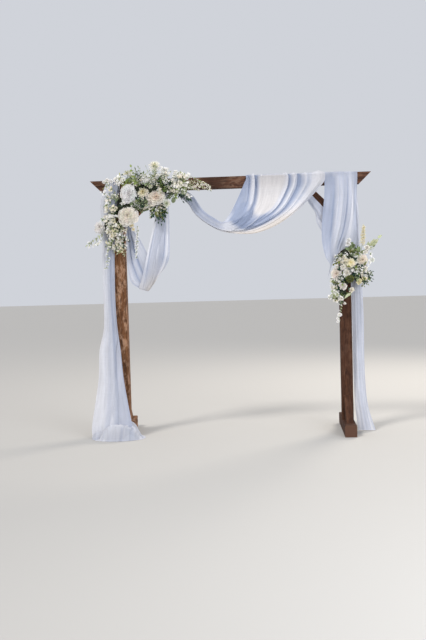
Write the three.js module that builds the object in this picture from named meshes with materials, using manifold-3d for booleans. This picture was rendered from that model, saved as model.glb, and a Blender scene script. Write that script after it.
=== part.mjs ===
// A free-standing timber ceremony arch, dressed with hung chiffon and two floral sprays.
// Millimetres, +Z up. The origin is on the ground, midway between the posts and in the frame's middle plane.
// Seen from the front (looking along +Y) +X is to the right, and the cloth and flowers hang on the front.
import * as THREE from "three";
import { mergeVertices } from "three/addons/utils/BufferGeometryUtils.js";
import Module from "manifold-3d";

const wasm = await Module();
wasm.setup();

// Driving dimensions
const archHeight = 2200;
const beamLength = 2400;
const timber = 100;
const postSpacing = 1930;
const footLength = 720;
const kneeReach = 330;
const kneeWidth = 70;
const footBraceReach = 210;
const footBraceWidth = 60;
const clothBulk = 10;
const seat = 0.3;

// Worked out from them
const face = timber / 2;
const postX = postSpacing / 2;
const postHeight = archHeight - 2 * timber;
const beamBottom = archHeight - timber;
const hang = face + seat + clothBulk / 2 + 0.5;
const overBeam = archHeight + hang - face;

const colours = {
  palePine: [0x85634a, 0.85],
  darkPine: [0x54392a, 0.85],
  beamPine: [0x64493a, 0.88],
  chiffon: [0xdcdde6, 0.9],
  foliage: [0x66704f, 0.8],
  greyLeaf: [0x8d9783, 0.7],
  cream: [0xe9dfc6, 0.75],
  white: [0xf1efec, 0.75],
  blush: [0xe2c6bd, 0.75],
  seedGreen: [0x3f4d3a, 0.8],
};

function material(name) {
  const [color, roughness] = colours[name];
  return new THREE.MeshStandardMaterial({ name, color, roughness, metalness: 0 });
}

const arch = new THREE.Group();
arch.name = "ceremony_arch";

function add(name, geometry, colour) {
  const mesh = new THREE.Mesh(geometry, material(colour));
  mesh.name = name;
  arch.add(mesh);
  return mesh;
}

// Joins and cuts

function welded(geometry) {
  const bare = geometry.index ? geometry.toNonIndexed() : geometry.clone();
  bare.deleteAttribute("normal");
  bare.deleteAttribute("uv");
  return mergeVertices(bare, 1e-3);
}

function toSolid(geometry) {
  const bare = welded(geometry);
  return new wasm.Manifold(
    new wasm.Mesh({
      numProp: 3,
      vertProperties: bare.attributes.position.array,
      triVerts: new Uint32Array(bare.index.array),
    }),
  );
}

function toGeometry(solid) {
  const mesh = solid.getMesh();
  const geometry = new THREE.BufferGeometry();
  geometry.setAttribute("position", new THREE.BufferAttribute(mesh.vertProperties, 3));
  geometry.setIndex(new THREE.BufferAttribute(mesh.triVerts, 1));
  geometry.computeVertexNormals();
  return geometry;
}

// The same skin moved outwards, so that what is cut with it keeps a narrow gap.
function grown(geometry, by) {
  const skin = welded(geometry);
  skin.computeVertexNormals();
  const place = skin.attributes.position;
  const out = skin.attributes.normal;
  for (let i = 0; i < place.count; i += 1) {
    place.setXYZ(
      i,
      place.getX(i) + out.getX(i) * by,
      place.getY(i) + out.getY(i) * by,
      place.getZ(i) + out.getZ(i) * by,
    );
  }
  return skin;
}

function boxOf(geometry) {
  geometry.computeBoundingBox();
  return geometry.boundingBox.clone();
}

// A soft piece gives way to every piece that was there before it, and stays one body.
function addYielding(name, geometry, colour) {
  let solid = toSolid(geometry);
  const reach = boxOf(geometry).expandByScalar(1);
  for (const other of arch.children) {
    if (reach.intersectsBox(boxOf(other.geometry))) {
      solid = solid.subtract(toSolid(grown(other.geometry, seat * 1.8)));
    }
  }
  const bodies = solid.decompose().sort((a, b) => b.volume() - a.volume());
  return add(name, toGeometry(bodies[0]), colour);
}

function joined(geometries) {
  return toGeometry(geometries.map(toSolid).reduce((sum, next) => sum.add(next)));
}

// Timber frame

// An outline in the XZ plane, sawn out of timber of the given depth along Y.
function sawn(outline, depth) {
  const shape = new THREE.Shape(outline.map(([x, z]) => new THREE.Vector2(x, z)));
  const geometry = new THREE.ExtrudeGeometry(shape, { depth, bevelEnabled: false });
  geometry.translate(0, 0, -depth / 2);
  geometry.applyMatrix4(
    new THREE.Matrix4().makeBasis(
      new THREE.Vector3(1, 0, 0),
      new THREE.Vector3(0, 0, 1),
      new THREE.Vector3(0, -1, 0),
    ),
  );
  return geometry;
}

// A 45 degree brace's outline in the corner of an upright and a level timber.
function braceOutline(cornerX, cornerZ, reach, width, towardsX, towardsZ) {
  const inner = reach - width * Math.SQRT2;
  return [
    [cornerX + towardsX * reach, cornerZ],
    [cornerX + towardsX * inner, cornerZ],
    [cornerX, cornerZ + towardsZ * inner],
    [cornerX, cornerZ + towardsZ * reach],
  ];
}

function topBeam() {
  const end = beamLength / 2;
  const outline = [
    [-end, archHeight],
    [-end + timber, beamBottom],
    [end - timber, beamBottom],
    [end, archHeight],
  ];
  add("top_beam", sawn(outline, timber), "beamPine");
}

function post(side, sign, colour) {
  const geometry = new THREE.BoxGeometry(timber, timber, postHeight);
  geometry.translate(sign * postX, 0, timber + postHeight / 2);
  add(`${side}_post`, geometry, colour);
}

function kneeBrace(side, sign, colour) {
  const cornerX = sign * (postX - face);
  const outline = braceOutline(cornerX, beamBottom, kneeReach, kneeWidth, -sign, -1);
  add(`${side}_knee_brace`, sawn(outline, kneeWidth), colour);
}

function foot(side, sign, colour) {
  const bearer = new THREE.BoxGeometry(timber, footLength, timber);
  bearer.translate(sign * postX, 0, face);
  add(`${side}_foot_bearer`, bearer, colour);
  for (const [end, towards] of [["front", -1], ["back", 1]]) {
    const outline = braceOutline(towards * face, timber, footBraceReach, footBraceWidth, towards, 1);
    const brace = sawn(outline, footBraceWidth);
    brace.applyMatrix4(
      new THREE.Matrix4().makeBasis(
        new THREE.Vector3(0, 1, 0),
        new THREE.Vector3(-1, 0, 0),
        new THREE.Vector3(0, 0, 1),
      ),
    );
    brace.translate(sign * postX, 0, 0);
    add(`${side}_foot_brace_${end}`, brace, colour);
  }
}

// Hung cloth

// A gathered length of cloth as a closed slab. Each row is [start, end], two points across the cloth,
// and the rows run down it. Folds are waves across it.
function gathered(rows, { bulk = clothBulk, folds = 3, foldDepth = 6, across = 12 } = {}) {
  const last = rows.length - 1;
  const geometry = new THREE.BoxGeometry(1, 1, 1, across, 1, last);
  const at = (row, u) => rows[row][0].clone().lerp(rows[row][1], u);
  const outwards = (row, u) => {
    const up = at(Math.max(row - 1, 0), u).sub(at(Math.min(row + 1, last), u));
    const along = at(row, 1).sub(at(row, 0));
    return up.cross(along).normalize();
  };
  const place = geometry.attributes.position;
  for (let i = 0; i < place.count; i += 1) {
    const u = place.getX(i) + 0.5;
    const row = Math.round((0.5 - place.getZ(i)) * last);
    const wave = foldDepth * (1 - Math.cos(2 * Math.PI * folds * u)) / 2;
    const p = at(row, u).addScaledVector(outwards(row, u), place.getY(i) * bulk - wave);
    place.setXYZ(i, p.x, p.y, p.z);
  }
  return geometry;
}

const point = (x, y, z) => new THREE.Vector3(x, y, z);
// A level row from one edge to the other, at a depth and a height.
const level = (x0, x1, y, z) => [point(x0, y, z), point(x1, y, z)];
// A row between two points of one depth.
const slanted = (x0, z0, x1, z1, y) => [point(x0, y, z0), point(x1, y, z1)];

function leftPanel() {
  const rows = [
    level(-1066, -936, hang, 2060),
    level(-1066, -936, hang, overBeam),
    level(-1066, -936, -hang, overBeam),
    level(-1084, -950, -hang, 2090),
    level(-1092, -985, -70, 1850),
    level(-1105, -1000, -76, 1500),
    level(-1106, -1002, -76, 1180),
    level(-1112, -990, -80, 880),
    level(-1162, -952, -105, 700),
    level(-1150, -925, -160, 440),
    level(-1205, -870, -225, 165),
  ];
  addYielding("left_panel", gathered(rows, { bulk: 22, folds: 3 }), "chiffon");
}

// The cloth's end, pooled over the front of the left foot bearer.
function leftPuddle() {
  const profile = [
    [0, 1],
    [0.35, 0.98],
    [0.62, 0.92],
    [0.82, 0.74],
    [0.94, 0.42],
    [1, 0],
    [0, 0],
  ].map(([r, z]) => new THREE.Vector2(r, z));
  const geometry = new THREE.LatheGeometry(profile.reverse(), 24);
  geometry.rotateX(Math.PI / 2);
  geometry.scale(236, 160, 138);
  geometry.translate(-984, -225, 0);
  addYielding("left_panel_pool", geometry, "chiffon");
}

function loop() {
  const left = [
    level(-880, -800, -hang - 6, 2150),
    level(-896, -792, -68, 1930),
    level(-902, -772, -72, 1710),
    slanted(-886, 1562, -724, 1555, -79),
  ];
  const right = [
    level(-610, -505, -hang - 6, 2150),
    level(-625, -508, -68, 1990),
    slanted(-644, 1838, -521, 1850, -72),
    slanted(-702, 1695, -519, 1700, -76),
    slanted(-722, 1555, -526, 1546, -79),
  ];
  const bowl = [
    slanted(-886, 1561.4, -526, 1545.4, -79),
    slanted(-890, 1475, -546, 1480, -84),
    slanted(-889, 1402, -597, 1413, -86),
    slanted(-868, 1338, -632, 1352, -86),
    slanted(-834, 1291, -682, 1320, -84),
    slanted(-790, 1258, -704, 1262, -82),
    slanted(-746, 1240, -722, 1240, -80),
  ];
  addYielding("loop_left_leg", gathered(left, { bulk: 16, folds: 3, foldDepth: 8 }), "chiffon");
  addYielding("loop_right_leg", gathered(right, { bulk: 16, folds: 3, foldDepth: 8 }), "chiffon");
  addYielding("loop_bowl", gathered(bowl, { bulk: 20, folds: 4, foldDepth: 10, across: 16 }), "chiffon");
}

// The swag's cloth crosses the top of the beam and ends in a short fall behind it.
function beamWrap() {
  const rows = [
    slanted(190, 2040, 780, 2050, hang),
    level(150, 817, hang, overBeam),
    level(150, 817, -face, overBeam),
  ];
  addYielding("beam_wrap", gathered(rows, { folds: 5, foldDepth: 3, across: 20 }), "chiffon");
}

function centreSwag() {
  const under = overBeam - clothBulk;
  const arm = [
    slanted(-450, 2090, -385, 2150, -hang - 4),
    slanted(-360, 1974, -306, 2040, -72),
    slanted(-294, 1878, -225, 1918, -80),
    slanted(-162, 1777, -134, 1847, -86),
    slanted(-36, 1721, -67, 1811, -90),
  ];
  const bowl = [
    slanted(-34, 1721, -65, 1811, -90),
    slanted(50, 1704, 22, 1901, -84),
    slanted(127, 1699, 98, 2058, -80),
    slanted(200, 1703, 146, under, -hang - 8),
    slanted(290, 1722, 300, under, -hang - 8),
    slanted(421, 1778, 430, under, -hang - 8),
    slanted(540, 1856, 550, under, -hang - 8),
    slanted(660, 1963, 670, under, -hang - 8),
    slanted(800, 2110, 812, under, -hang - 8),
  ];
  addYielding("swag_arm", gathered(arm, { bulk: 18, folds: 2, foldDepth: 8, across: 8 }), "chiffon");
  addYielding("swag_bowl", gathered(bowl, { bulk: 16, folds: 4, foldDepth: 10, across: 16 }), "chiffon");
}

function rightTail() {
  const rows = [
    level(820, 1086, hang + clothBulk / 2, overBeam),
    level(820, 1086, -hang, overBeam),
    level(816, 1085, -hang - 4, 2090),
    level(798, 1080, -74, 1950),
    level(780, 1074, -78, 1790),
    level(777, 1074, -80, 1650),
    slanted(778, 1600, 1060, 1602, -82),
    slanted(786, 1545, 974, 1582, -82),
    slanted(800, 1490, 931, 1520, -82),
    slanted(820, 1446, 888, 1476, -82),
    slanted(846, 1416, 864, 1422, -82),
  ];
  addYielding("right_tail", gathered(rows, { bulk: 12, folds: 4, foldDepth: 12, across: 16 }), "chiffon");
}

// Cloth wound about the right knee brace, hanging from its lower edge.
function braceWrap() {
  const lowerEdge = (x) => beamBottom - (x - (postX - face - kneeReach)) - 1;
  const rows = [
    slanted(652, 1990, 640, lowerEdge(640), 0),
    slanted(717, 1870, 700, lowerEdge(700), 0),
    slanted(730, 1785, 760, lowerEdge(760), 0),
    slanted(778, 1700, 820, lowerEdge(820), 0),
    slanted(842, 1650, 880, lowerEdge(880), 0),
    slanted(904, 1640, 911, lowerEdge(911), 0),
  ];
  addYielding("brace_wrap", gathered(rows, { bulk: 16, folds: 2, foldDepth: 6, across: 8 }), "chiffon");
}

// The long end of the right cloth falls behind the beam and down beside the post.
function rightPanel() {
  const rows = [
    level(884, 1086, hang, archHeight - 2),
    level(900, 1090, hang, 2090),
    level(1018, 1092, 48, 1900),
    level(1022, 1100, 36, 1700),
    level(1021, 1103, 26, 1250),
    level(1021, 1112, 20, 900),
    level(1022, 1116, 10, 600),
    level(1024, 1124, -10, 350),
    level(1030, 1150, -40, 130),
    level(1050, 1205, -70, 4),
  ];
  addYielding("right_panel", gathered(rows, { bulk: 16, folds: 3, foldDepth: 8 }), "chiffon");
}

// Floral sprays

function mound(x, y, z, radiusX, radiusY, radiusZ) {
  const geometry = new THREE.SphereGeometry(1, 14, 9);
  geometry.scale(radiusX, radiusY, radiusZ);
  geometry.translate(x, y, z);
  return geometry;
}

// A flower, bud or plume: a slim stem from its root, and a head of the given length at its tip.
function stemmed(root, tip, headRadius, headLength) {
  const length = tip.distanceTo(root);
  const stem = 3;
  const neck = Math.max(length - headLength, 1);
  const middle = (neck + length) / 2;
  const profile = [
    [0, 0],
    [stem, 0],
    [stem, neck],
    [headRadius * 0.72, (neck + middle) / 2],
    [headRadius, middle],
    [headRadius * 0.76, (middle + length) / 2],
    [0, length],
  ].map(([r, h]) => new THREE.Vector2(r, h));
  const geometry = new THREE.LatheGeometry(profile, 10);
  const turn = new THREE.Quaternion();
  turn.setFromUnitVectors(new THREE.Vector3(0, 1, 0), tip.clone().sub(root).normalize());
  geometry.applyQuaternion(turn);
  geometry.translate(root.x, root.y, root.z);
  return geometry;
}

// A flat pointed leaf from its root to its tip, facing the front.
function leaf(root, tip, width) {
  const thick = 4;
  const length = tip.distanceTo(root);
  const shape = new THREE.Shape();
  shape.moveTo(-2, 0);
  shape.quadraticCurveTo(-width * 0.8, length * 0.5, 0, length);
  shape.quadraticCurveTo(width * 0.8, length * 0.5, 2, 0);
  const geometry = new THREE.ExtrudeGeometry(shape, {
    depth: thick,
    bevelEnabled: false,
    curveSegments: 6,
  });
  geometry.translate(0, 0, -thick / 2);
  const along = tip.clone().sub(root).normalize();
  const across = along.clone().cross(new THREE.Vector3(0, -1, 0)).normalize();
  const front = across.clone().cross(along);
  geometry.applyMatrix4(new THREE.Matrix4().makeBasis(across, along, front));
  geometry.translate(root.x, root.y, root.z);
  return geometry;
}

// A drooping sprig: a slim tube along a curve.
function sprig(points, radius) {
  const section = new THREE.Shape();
  section.absarc(0, 0, radius, 0, 2 * Math.PI);
  return new THREE.ExtrudeGeometry(section, {
    steps: 12,
    curveSegments: 4,
    bevelEnabled: false,
    extrudePath: new THREE.CatmullRomCurve3(points),
  });
}

function leftSpray() {
  const greenery = joined([
    mound(-700, -128, 2110, 240, 72, 105),
    mound(-870, -128, 1950, 115, 70, 190),
    mound(-470, -120, 2115, 150, 62, 80),
    mound(-620, -120, 1990, 130, 60, 85),
    mound(-1000, -122, 1800, 105, 60, 85),
  ]);
  addYielding("left_greenery", greenery, "foliage");
  const blooms = [
    ["white_ruffled_bloom", mound(-848, -208, 2072, 68, 46, 88), "white"],
    ["cream_ruffled_bloom", mound(-856, -208, 1879, 82, 50, 80), "cream"],
    ["blush_rose", mound(-606, -206, 2034, 76, 52, 60), "blush"],
    ["cream_carnation", mound(-726, -205, 2085, 44, 40, 44), "cream"],
    ["white_small_bloom", mound(-1110, -160, 1800, 44, 30, 42), "white"],
    ["white_low_bloom", mound(-522, -180, 1978, 36, 30, 36), "white"],
  ];
  blooms.forEach(([name, geometry, colour]) => addYielding(name, geometry, colour));
  const heads = [
    ["spider_bloom", point(-628, -135, 2150), point(-620, -165, 2345), 54, 90, "cream"],
    ["spiky_bud", point(-840, -150, 2080), point(-852, -165, 2290), 32, 80, "cream"],
    ["cream_cluster", point(-712, -160, 2130), point(-690, -205, 2235), 44, 80, "white"],
    ["left_tall_sprig", point(-870, -150, 2070), point(-915, -170, 2240), 24, 120, "foliage"],
    ["left_plume", point(-560, -150, 2140), point(-528, -180, 2300), 38, 140, "white"],
    ["middle_plume", point(-470, -150, 2140), point(-404, -180, 2275), 50, 130, "white"],
    ["right_plume", point(-400, -130, 2120), point(-150, -150, 2115), 36, 200, "cream"],
    ["far_left_sprig", point(-1060, -140, 1760), point(-1240, -170, 1640), 26, 110, "greyLeaf"],
  ];
  heads.forEach(([name, root, tip, radius, length, colour]) =>
    addYielding(name, stemmed(root, tip, radius, length), colour),
  );
  const hanging = [point(-1010, -150, 1770), point(-1030, -160, 1640), point(-1060, -150, 1455)];
  addYielding("left_hanging_sprig", sprig(hanging, 12), "greyLeaf");
}

function rightSpray() {
  const greenery = joined([
    mound(1000, -124, 1470, 115, 62, 115),
    mound(1080, -122, 1370, 95, 60, 130),
    mound(940, -122, 1320, 95, 60, 110),
    mound(910, -118, 1190, 75, 50, 80),
  ]);
  addYielding("right_greenery", greenery, "foliage");
  const blooms = [
    ["blush_cream_bloom", mound(1108, -186, 1456, 52, 40, 52), "blush"],
    ["yellow_cream_bloom", mound(1002, -188, 1438, 48, 38, 48), "cream"],
    ["white_side_bloom", mound(878, -174, 1350, 48, 36, 46), "white"],
    ["dark_seed_head", mound(994, -190, 1300, 34, 30, 34), "seedGreen"],
    ["low_white_cluster", mound(868, -168, 1180, 44, 32, 40), "white"],
  ];
  blooms.forEach(([name, geometry, colour]) => addYielding(name, geometry, colour));
  addYielding(
    "cream_astilbe",
    stemmed(point(1090, -140, 1500), point(1118, -165, 1745), 24, 170),
    "cream",
  );
  addYielding("right_grey_leaf", leaf(point(1075, -150, 1475), point(1250, -170, 1632), 70), "greyLeaf");
  const trailing = [point(930, -150, 1150), point(912, -165, 1050), point(892, -160, 945)];
  addYielding("right_trailing_sprig", sprig(trailing, 9), "greyLeaf");
}

topBeam();
post("left", -1, "palePine");
post("right", 1, "darkPine");
kneeBrace("left", -1, "palePine");
kneeBrace("right", 1, "darkPine");
foot("left", -1, "palePine");
foot("right", 1, "darkPine");
leftPuddle();
leftPanel();
beamWrap();
rightTail();
rightPanel();
braceWrap();
centreSwag();
loop();
leftSpray();
rightSpray();

export default arch;
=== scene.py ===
"""The looks of a draped timber ceremony arch: sawn timber, sheer hung cloth and two floral sprays.

Metres, +Z up, the front towards -Y. Timber is laid over the solids of the frame, cloth is made of smooth
guide lines with folds between them, and the flowers are built petal by petal.
"""
import math
import random

import bpy
import numpy as np
from mathutils import Matrix, Vector, noise


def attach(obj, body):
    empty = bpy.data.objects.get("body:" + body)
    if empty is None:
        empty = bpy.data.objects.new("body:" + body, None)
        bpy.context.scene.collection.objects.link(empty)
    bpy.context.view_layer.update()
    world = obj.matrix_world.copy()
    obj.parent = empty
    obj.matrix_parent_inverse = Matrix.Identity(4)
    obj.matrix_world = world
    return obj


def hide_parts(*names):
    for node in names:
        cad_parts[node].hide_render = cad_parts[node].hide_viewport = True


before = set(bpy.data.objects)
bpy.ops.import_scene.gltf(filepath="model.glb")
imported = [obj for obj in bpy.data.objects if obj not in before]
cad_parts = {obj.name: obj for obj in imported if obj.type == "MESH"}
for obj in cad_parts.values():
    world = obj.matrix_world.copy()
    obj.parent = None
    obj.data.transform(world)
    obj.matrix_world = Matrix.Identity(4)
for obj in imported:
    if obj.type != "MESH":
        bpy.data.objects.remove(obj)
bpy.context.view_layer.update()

scene = bpy.context.scene

# Driving sizes of the frame, as the solids have them
ARCH_HEIGHT = 2.2
BEAM_LENGTH = 2.4
TIMBER = 0.1
POST_X = 0.965
FOOT_LENGTH = 0.72
KNEE_REACH = 0.33
KNEE_WIDTH = 0.07
FOOT_BRACE_REACH = 0.21
FOOT_BRACE_WIDTH = 0.06
FACE = TIMBER / 2
HALF_BEAM = BEAM_LENGTH / 2
BEAM_BOTTOM = ARCH_HEIGHT - TIMBER


# Camera, lights and floor

CAMERA_PLACE = (0.394, -7.661, 1.358)
YAW, PITCH, ROLL = (math.radians(turn) for turn in (4.23, 2.85, -1.62))
LENS = 50
SENSOR = 36
SKY = (0.90, 0.93, 1.0, 1)
SKY_STRENGTH = 0.7
SUN_SOFTNESS = math.radians(14)
FLOOR_REACH = 40
FLOOR_COLOUR = (0.43, 0.425, 0.41, 1)
FLOOR_ROUGHNESS = 0.85

# The soft lights: name, place, aim, width, power and colour
LAMPS = [
    ("back", (3.5, 4.5, 5.0), (0, 0, 1.4), 2.5, 300, (1.0, 0.91, 0.80)),
    ("front fill", (3.6, -5.5, 2.4), (0.3, 0, 1.3), 4.0, 250, (0.96, 0.97, 1.0)),
]


def add_camera():
    """The photograph's view: a 50 mm lens at chest height, a little right of the middle."""
    level = Vector((-math.sin(YAW), math.cos(YAW), 0))
    side = Vector((math.cos(YAW), math.sin(YAW), 0))
    ahead = level * math.cos(PITCH) - Vector((0, 0, math.sin(PITCH)))
    right = side * math.cos(ROLL) + side.cross(ahead) * math.sin(ROLL)
    turn = Matrix((right, right.cross(ahead), -ahead)).transposed().to_4x4()
    data = bpy.data.cameras.new("camera")
    data.sensor_width = SENSOR
    data.lens = LENS
    camera = bpy.data.objects.new("camera", data)
    camera.matrix_world = Matrix.Translation(CAMERA_PLACE) @ turn
    scene.collection.objects.link(camera)
    scene.camera = camera


def add_light(name, kind, towards, power, colour, place=(0, 0, 0)):
    """A light that shines towards a direction."""
    data = bpy.data.lights.new(name, kind)
    data.energy = power
    data.color = colour
    light = bpy.data.objects.new(name, data)
    light.location = place
    light.rotation_mode = "QUATERNION"
    light.rotation_quaternion = Vector(towards).to_track_quat("-Z", "Y")
    scene.collection.objects.link(light)
    return data


def add_floor():
    mesh = bpy.data.meshes.new("floor")
    corners = [(x * FLOOR_REACH, y * FLOOR_REACH, 0) for x, y in ((-1, -1), (1, -1), (1, 1), (-1, 1))]
    mesh.from_pydata(corners, [], [(0, 1, 2, 3)])
    mesh.materials.append(floor_material())
    floor = bpy.data.objects.new("floor", mesh)
    scene.collection.objects.link(floor)


def add_studio():
    world = bpy.data.worlds.new("studio")
    scene.world = world
    world.use_nodes = True
    background = world.node_tree.nodes["Background"]
    background.inputs["Color"].default_value = SKY
    background.inputs["Strength"].default_value = SKY_STRENGTH
    key = add_light("key", "SUN", (0.55, 0.62, -0.9), 2.1, (1.0, 0.94, 0.87))
    key.angle = SUN_SOFTNESS
    for name, place, aim, width, power, colour in LAMPS:
        lamp = add_light(name, "AREA", Vector(aim) - Vector(place), power, colour, place)
        lamp.shape = "DISK"
        lamp.size = width
    add_floor()


# Shader building blocks

# The sockets that a finish feeds, by what it calls them
FINISH_SOCKETS = {"Colour": "Base Color", "Roughness": "Roughness", "Cover": "Alpha"}


def new_material(name):
    made = bpy.data.materials.new(name)
    made.use_nodes = True
    return made, made.node_tree, made.node_tree.nodes["Principled BSDF"]


def feed(tree, socket, value):
    """Links a socket to another, or sets it to a number, a place or a colour."""
    if isinstance(value, bpy.types.NodeSocket):
        tree.links.new(value, socket)
    elif isinstance(value, tuple) and socket.type == "RGBA":
        socket.default_value = (*value[:3], 1)
    else:
        socket.default_value = value


def add_node(tree, kind, inputs, output=0, **settings):
    """Adds a node with its settings, feeds its inputs by name or number, and gives one output."""
    made = tree.nodes.new("ShaderNode" + kind)
    for name, value in settings.items():
        setattr(made, name, value)
    for name, value in inputs.items():
        feed(tree, made.inputs[name], value)
    return made.outputs[output]


def maths(tree, operation, *values, clamp=False):
    return add_node(tree, "Math", dict(enumerate(values)), operation=operation, use_clamp=clamp)


def mixed(tree, share, first, second, blend="MIX"):
    """One colour with a share of another in it."""
    return add_node(tree, "Mix", {0: share, 6: first, 7: second}, 2, data_type="RGBA", blend_type=blend)


def ramp(tree, value, *stops):
    """A grey from a value, through stops of (value, level)."""
    made = tree.nodes.new("ShaderNodeValToRGB")
    elements = made.color_ramp.elements
    while len(elements) < len(stops):
        elements.new(0.5)
    for element, (place, level) in zip(elements, stops):
        element.position = place
        element.color = (level, level, level, 1)
    tree.links.new(value, made.inputs[0])
    return made.outputs[0]


def shaded(tree, colour, value, *stops):
    """A colour made darker or paler by a value, through stops of (value, level)."""
    return mixed(tree, 1.0, colour, ramp(tree, value, *stops), "MULTIPLY")


def attribute(tree, name, output="Fac"):
    return add_node(tree, "Attribute", {}, output, attribute_name=name)


def stretched(tree, vector, scale):
    return add_node(tree, "Mapping", {"Vector": vector, "Scale": scale}, "Vector")


def speckled(tree, vector, stretch, detail, roughness, distortion=0.0, scale=1.0, output="Fac"):
    """Cloudy noise over a stretched coordinate."""
    inputs = {"Vector": stretched(tree, vector, stretch), "Scale": scale, "Detail": detail}
    inputs.update({"Roughness": roughness, "Distortion": distortion})
    return add_node(tree, "TexNoise", inputs, output)


def waves(tree, vector, stretch, scale, distortion, detail, **settings):
    """Bands or rings over a stretched coordinate."""
    inputs = {"Vector": stretched(tree, vector, stretch), "Scale": scale}
    inputs.update({"Distortion": distortion, "Detail": detail})
    return add_node(tree, "TexWave", inputs, "Fac", **settings)


def new_group(name, inputs, outputs):
    """A shader group whose sockets are given by name and kind, with what comes in and what goes out."""
    group = bpy.data.node_groups.new(name, "ShaderNodeTree")
    for side, sockets in (("INPUT", inputs), ("OUTPUT", outputs)):
        for label, kind in sockets.items():
            group.interface.new_socket(label, in_out=side, socket_type="NodeSocket" + kind)
    come, go = group.nodes.new("NodeGroupInput"), group.nodes.new("NodeGroupOutput")
    return group, come.outputs, go.inputs


def put_out(group, go, **values):
    for label, value in values.items():
        group.links.new(value, go[label])


def use_group(tree, group, **values):
    """Places a group with its own values in a material, and gives what it puts out."""
    made = tree.nodes.new("ShaderNodeGroup")
    made.node_tree = group
    for label, value in values.items():
        feed(tree, made.inputs[label], value)
    return made.outputs


def dress(tree, shader, finish, relief, **constants):
    """Links a finish to the shader, with its height as a bump of the given relief, and sets the constants."""
    for label, socket in FINISH_SOCKETS.items():
        if label in finish:
            tree.links.new(finish[label], shader.inputs[socket])
    bump = {"Strength": 1.0, "Distance": relief, "Height": finish["Height"]}
    tree.links.new(add_node(tree, "Bump", bump, "Normal"), shader.inputs["Normal"])
    for label, value in constants.items():
        shader.inputs[label.replace("_", " ")].default_value = value


def let_light_through(tree, shader, colour, share):
    """Mixes in the light that comes through from behind the surface."""
    behind = add_node(tree, "BsdfTranslucent", {"Color": colour})
    both = add_node(tree, "MixShader", {0: share, 1: shader.outputs["BSDF"], 2: behind})
    tree.links.new(both, tree.nodes["Material Output"].inputs["Surface"])


def floor_material():
    made, _, shader = new_material("pale floor")
    shader.inputs["Base Color"].default_value = FLOOR_COLOUR
    shader.inputs["Roughness"].default_value = FLOOR_ROUGHNESS
    return made


# Timber finish

KNOT_COLOUR = (0.05, 0.025, 0.015)
GRAIN_WANDER = (0, 0.05, 0.05)

# The finish in each timber slot: its name, light, dark and weathered colour, and how weathered it is
PINES = {
    "pale_timber": (
        "pale weathered pine", (0.25, 0.115, 0.052), (0.062, 0.025, 0.011), (0.44, 0.27, 0.175), 0.75,
    ),
    "dark_timber": (
        "dark stained pine", (0.085, 0.036, 0.019), (0.032, 0.013, 0.008), (0.14, 0.075, 0.05), 0.3,
    ),
    "weathered_beam_timber": (
        "weathered beam pine", (0.150, 0.068, 0.040), (0.034, 0.016, 0.010), (0.22, 0.135, 0.09), 0.5,
    ),
}


def sawn_grain_group():
    """Sawn softwood. Grain is the coordinate along, across and through the timber, in metres."""
    group, come, go = new_group(
        "sawn grain",
        {"Grain": "Vector", "End": "Float", "Light": "Color", "Dark": "Color", "Weathered": "Color",
         "Weather": "Float", "Damp": "Float"},
        {"Colour": "Color", "Roughness": "Float", "Height": "Float"},
    )
    grain, dark = come["Grain"], come["Dark"]
    drift = speckled(group, grain, (1.3, 9, 9), 3.0, 0.5, output="Color")
    wandered = add_node(group, "VectorMath", {0: drift, 1: GRAIN_WANDER, 2: grain}, operation="MULTIPLY_ADD")
    bands = waves(group, wandered, (1.5, 26, 14), 1.0, 3.0, 3.0, bands_direction="Y")
    fibres = speckled(group, wandered, (9, 260, 260), 5.0, 0.65)
    streaks = speckled(group, wandered, (2.2, 42, 42), 4.0, 0.6)
    patches = speckled(group, grain, (15, 30, 30), 5.0, 0.62, 0.5)
    stains = speckled(group, grain, (11, 38, 38), 4.0, 0.6, 0.2, scale=1.3)
    knots = add_node(group, "TexVoronoi", {"Vector": stretched(group, grain, (2.6, 13, 13)), "Scale": 1.0})

    late_wood = ramp(group, bands, (0.15, 0.0), (0.85, 1.0))
    streak = ramp(group, streaks, (0.35, 0.0), (0.68, 1.0))
    tone = maths(group, "MULTIPLY_ADD", late_wood, 0.45, streak)
    body = mixed(group, maths(group, "MULTIPLY", tone, 0.75, clamp=True), come["Light"], dark)
    knot = ramp(group, knots, (0.0, 1.0), (0.10, 0.9), (0.16, 0.0))
    body = mixed(group, maths(group, "MULTIPLY", knot, 0.75), body, KNOT_COLOUR)
    worn = ramp(group, patches, (0.48, 0.0), (0.60, 1.0))
    body = mixed(group, maths(group, "MULTIPLY", worn, come["Weather"], clamp=True), body, come["Weathered"])
    body = mixed(group, ramp(group, stains, (0.53, 0.0), (0.63, 0.8)), body, dark)
    body = shaded(group, body, fibres, (0.3, 0.62), (0.7, 1.12))
    # Painted shadow: darker where the flowers' shadow is painted on the wood
    body = mixed(group, maths(group, "MULTIPLY", come["Damp"], 0.75), body, dark)
    rings = waves(group, grain, (0, 1, 1), 24.0, 1.5, 2.0, wave_type="RINGS")
    sawn_end = mixed(group, rings, dark, come["Weathered"])
    put_out(
        group, go,
        Colour=mixed(group, come["End"], body, sawn_end),
        Roughness=ramp(group, fibres, (0.0, 0.70), (1.0, 0.95)),
        Height=maths(group, "MULTIPLY_ADD", fibres, 0.7, maths(group, "MULTIPLY", streak, -0.5)),
    )
    return group


def timber_material(group, name, light, dark, weathered, weather):
    made, tree, shader = new_material(name)
    finish = use_group(
        tree, group, Grain=attribute(tree, "grain", "Vector"), End=attribute(tree, "end_grain"),
        Damp=attribute(tree, "damp"), Light=light, Dark=dark, Weathered=weathered, Weather=weather,
    )
    dress(tree, shader, finish, 0.0015, Specular_IOR_Level=0.15)
    return made


def timber_materials():
    group = sawn_grain_group()
    return {slot_name: timber_material(group, *pine) for slot_name, pine in PINES.items()}


TIMBERS = timber_materials()


# Cloth finish

# Painted shade in the fold valleys, the cloth's own pale colour on the ridges, and yellowish painted sunlight
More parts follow.
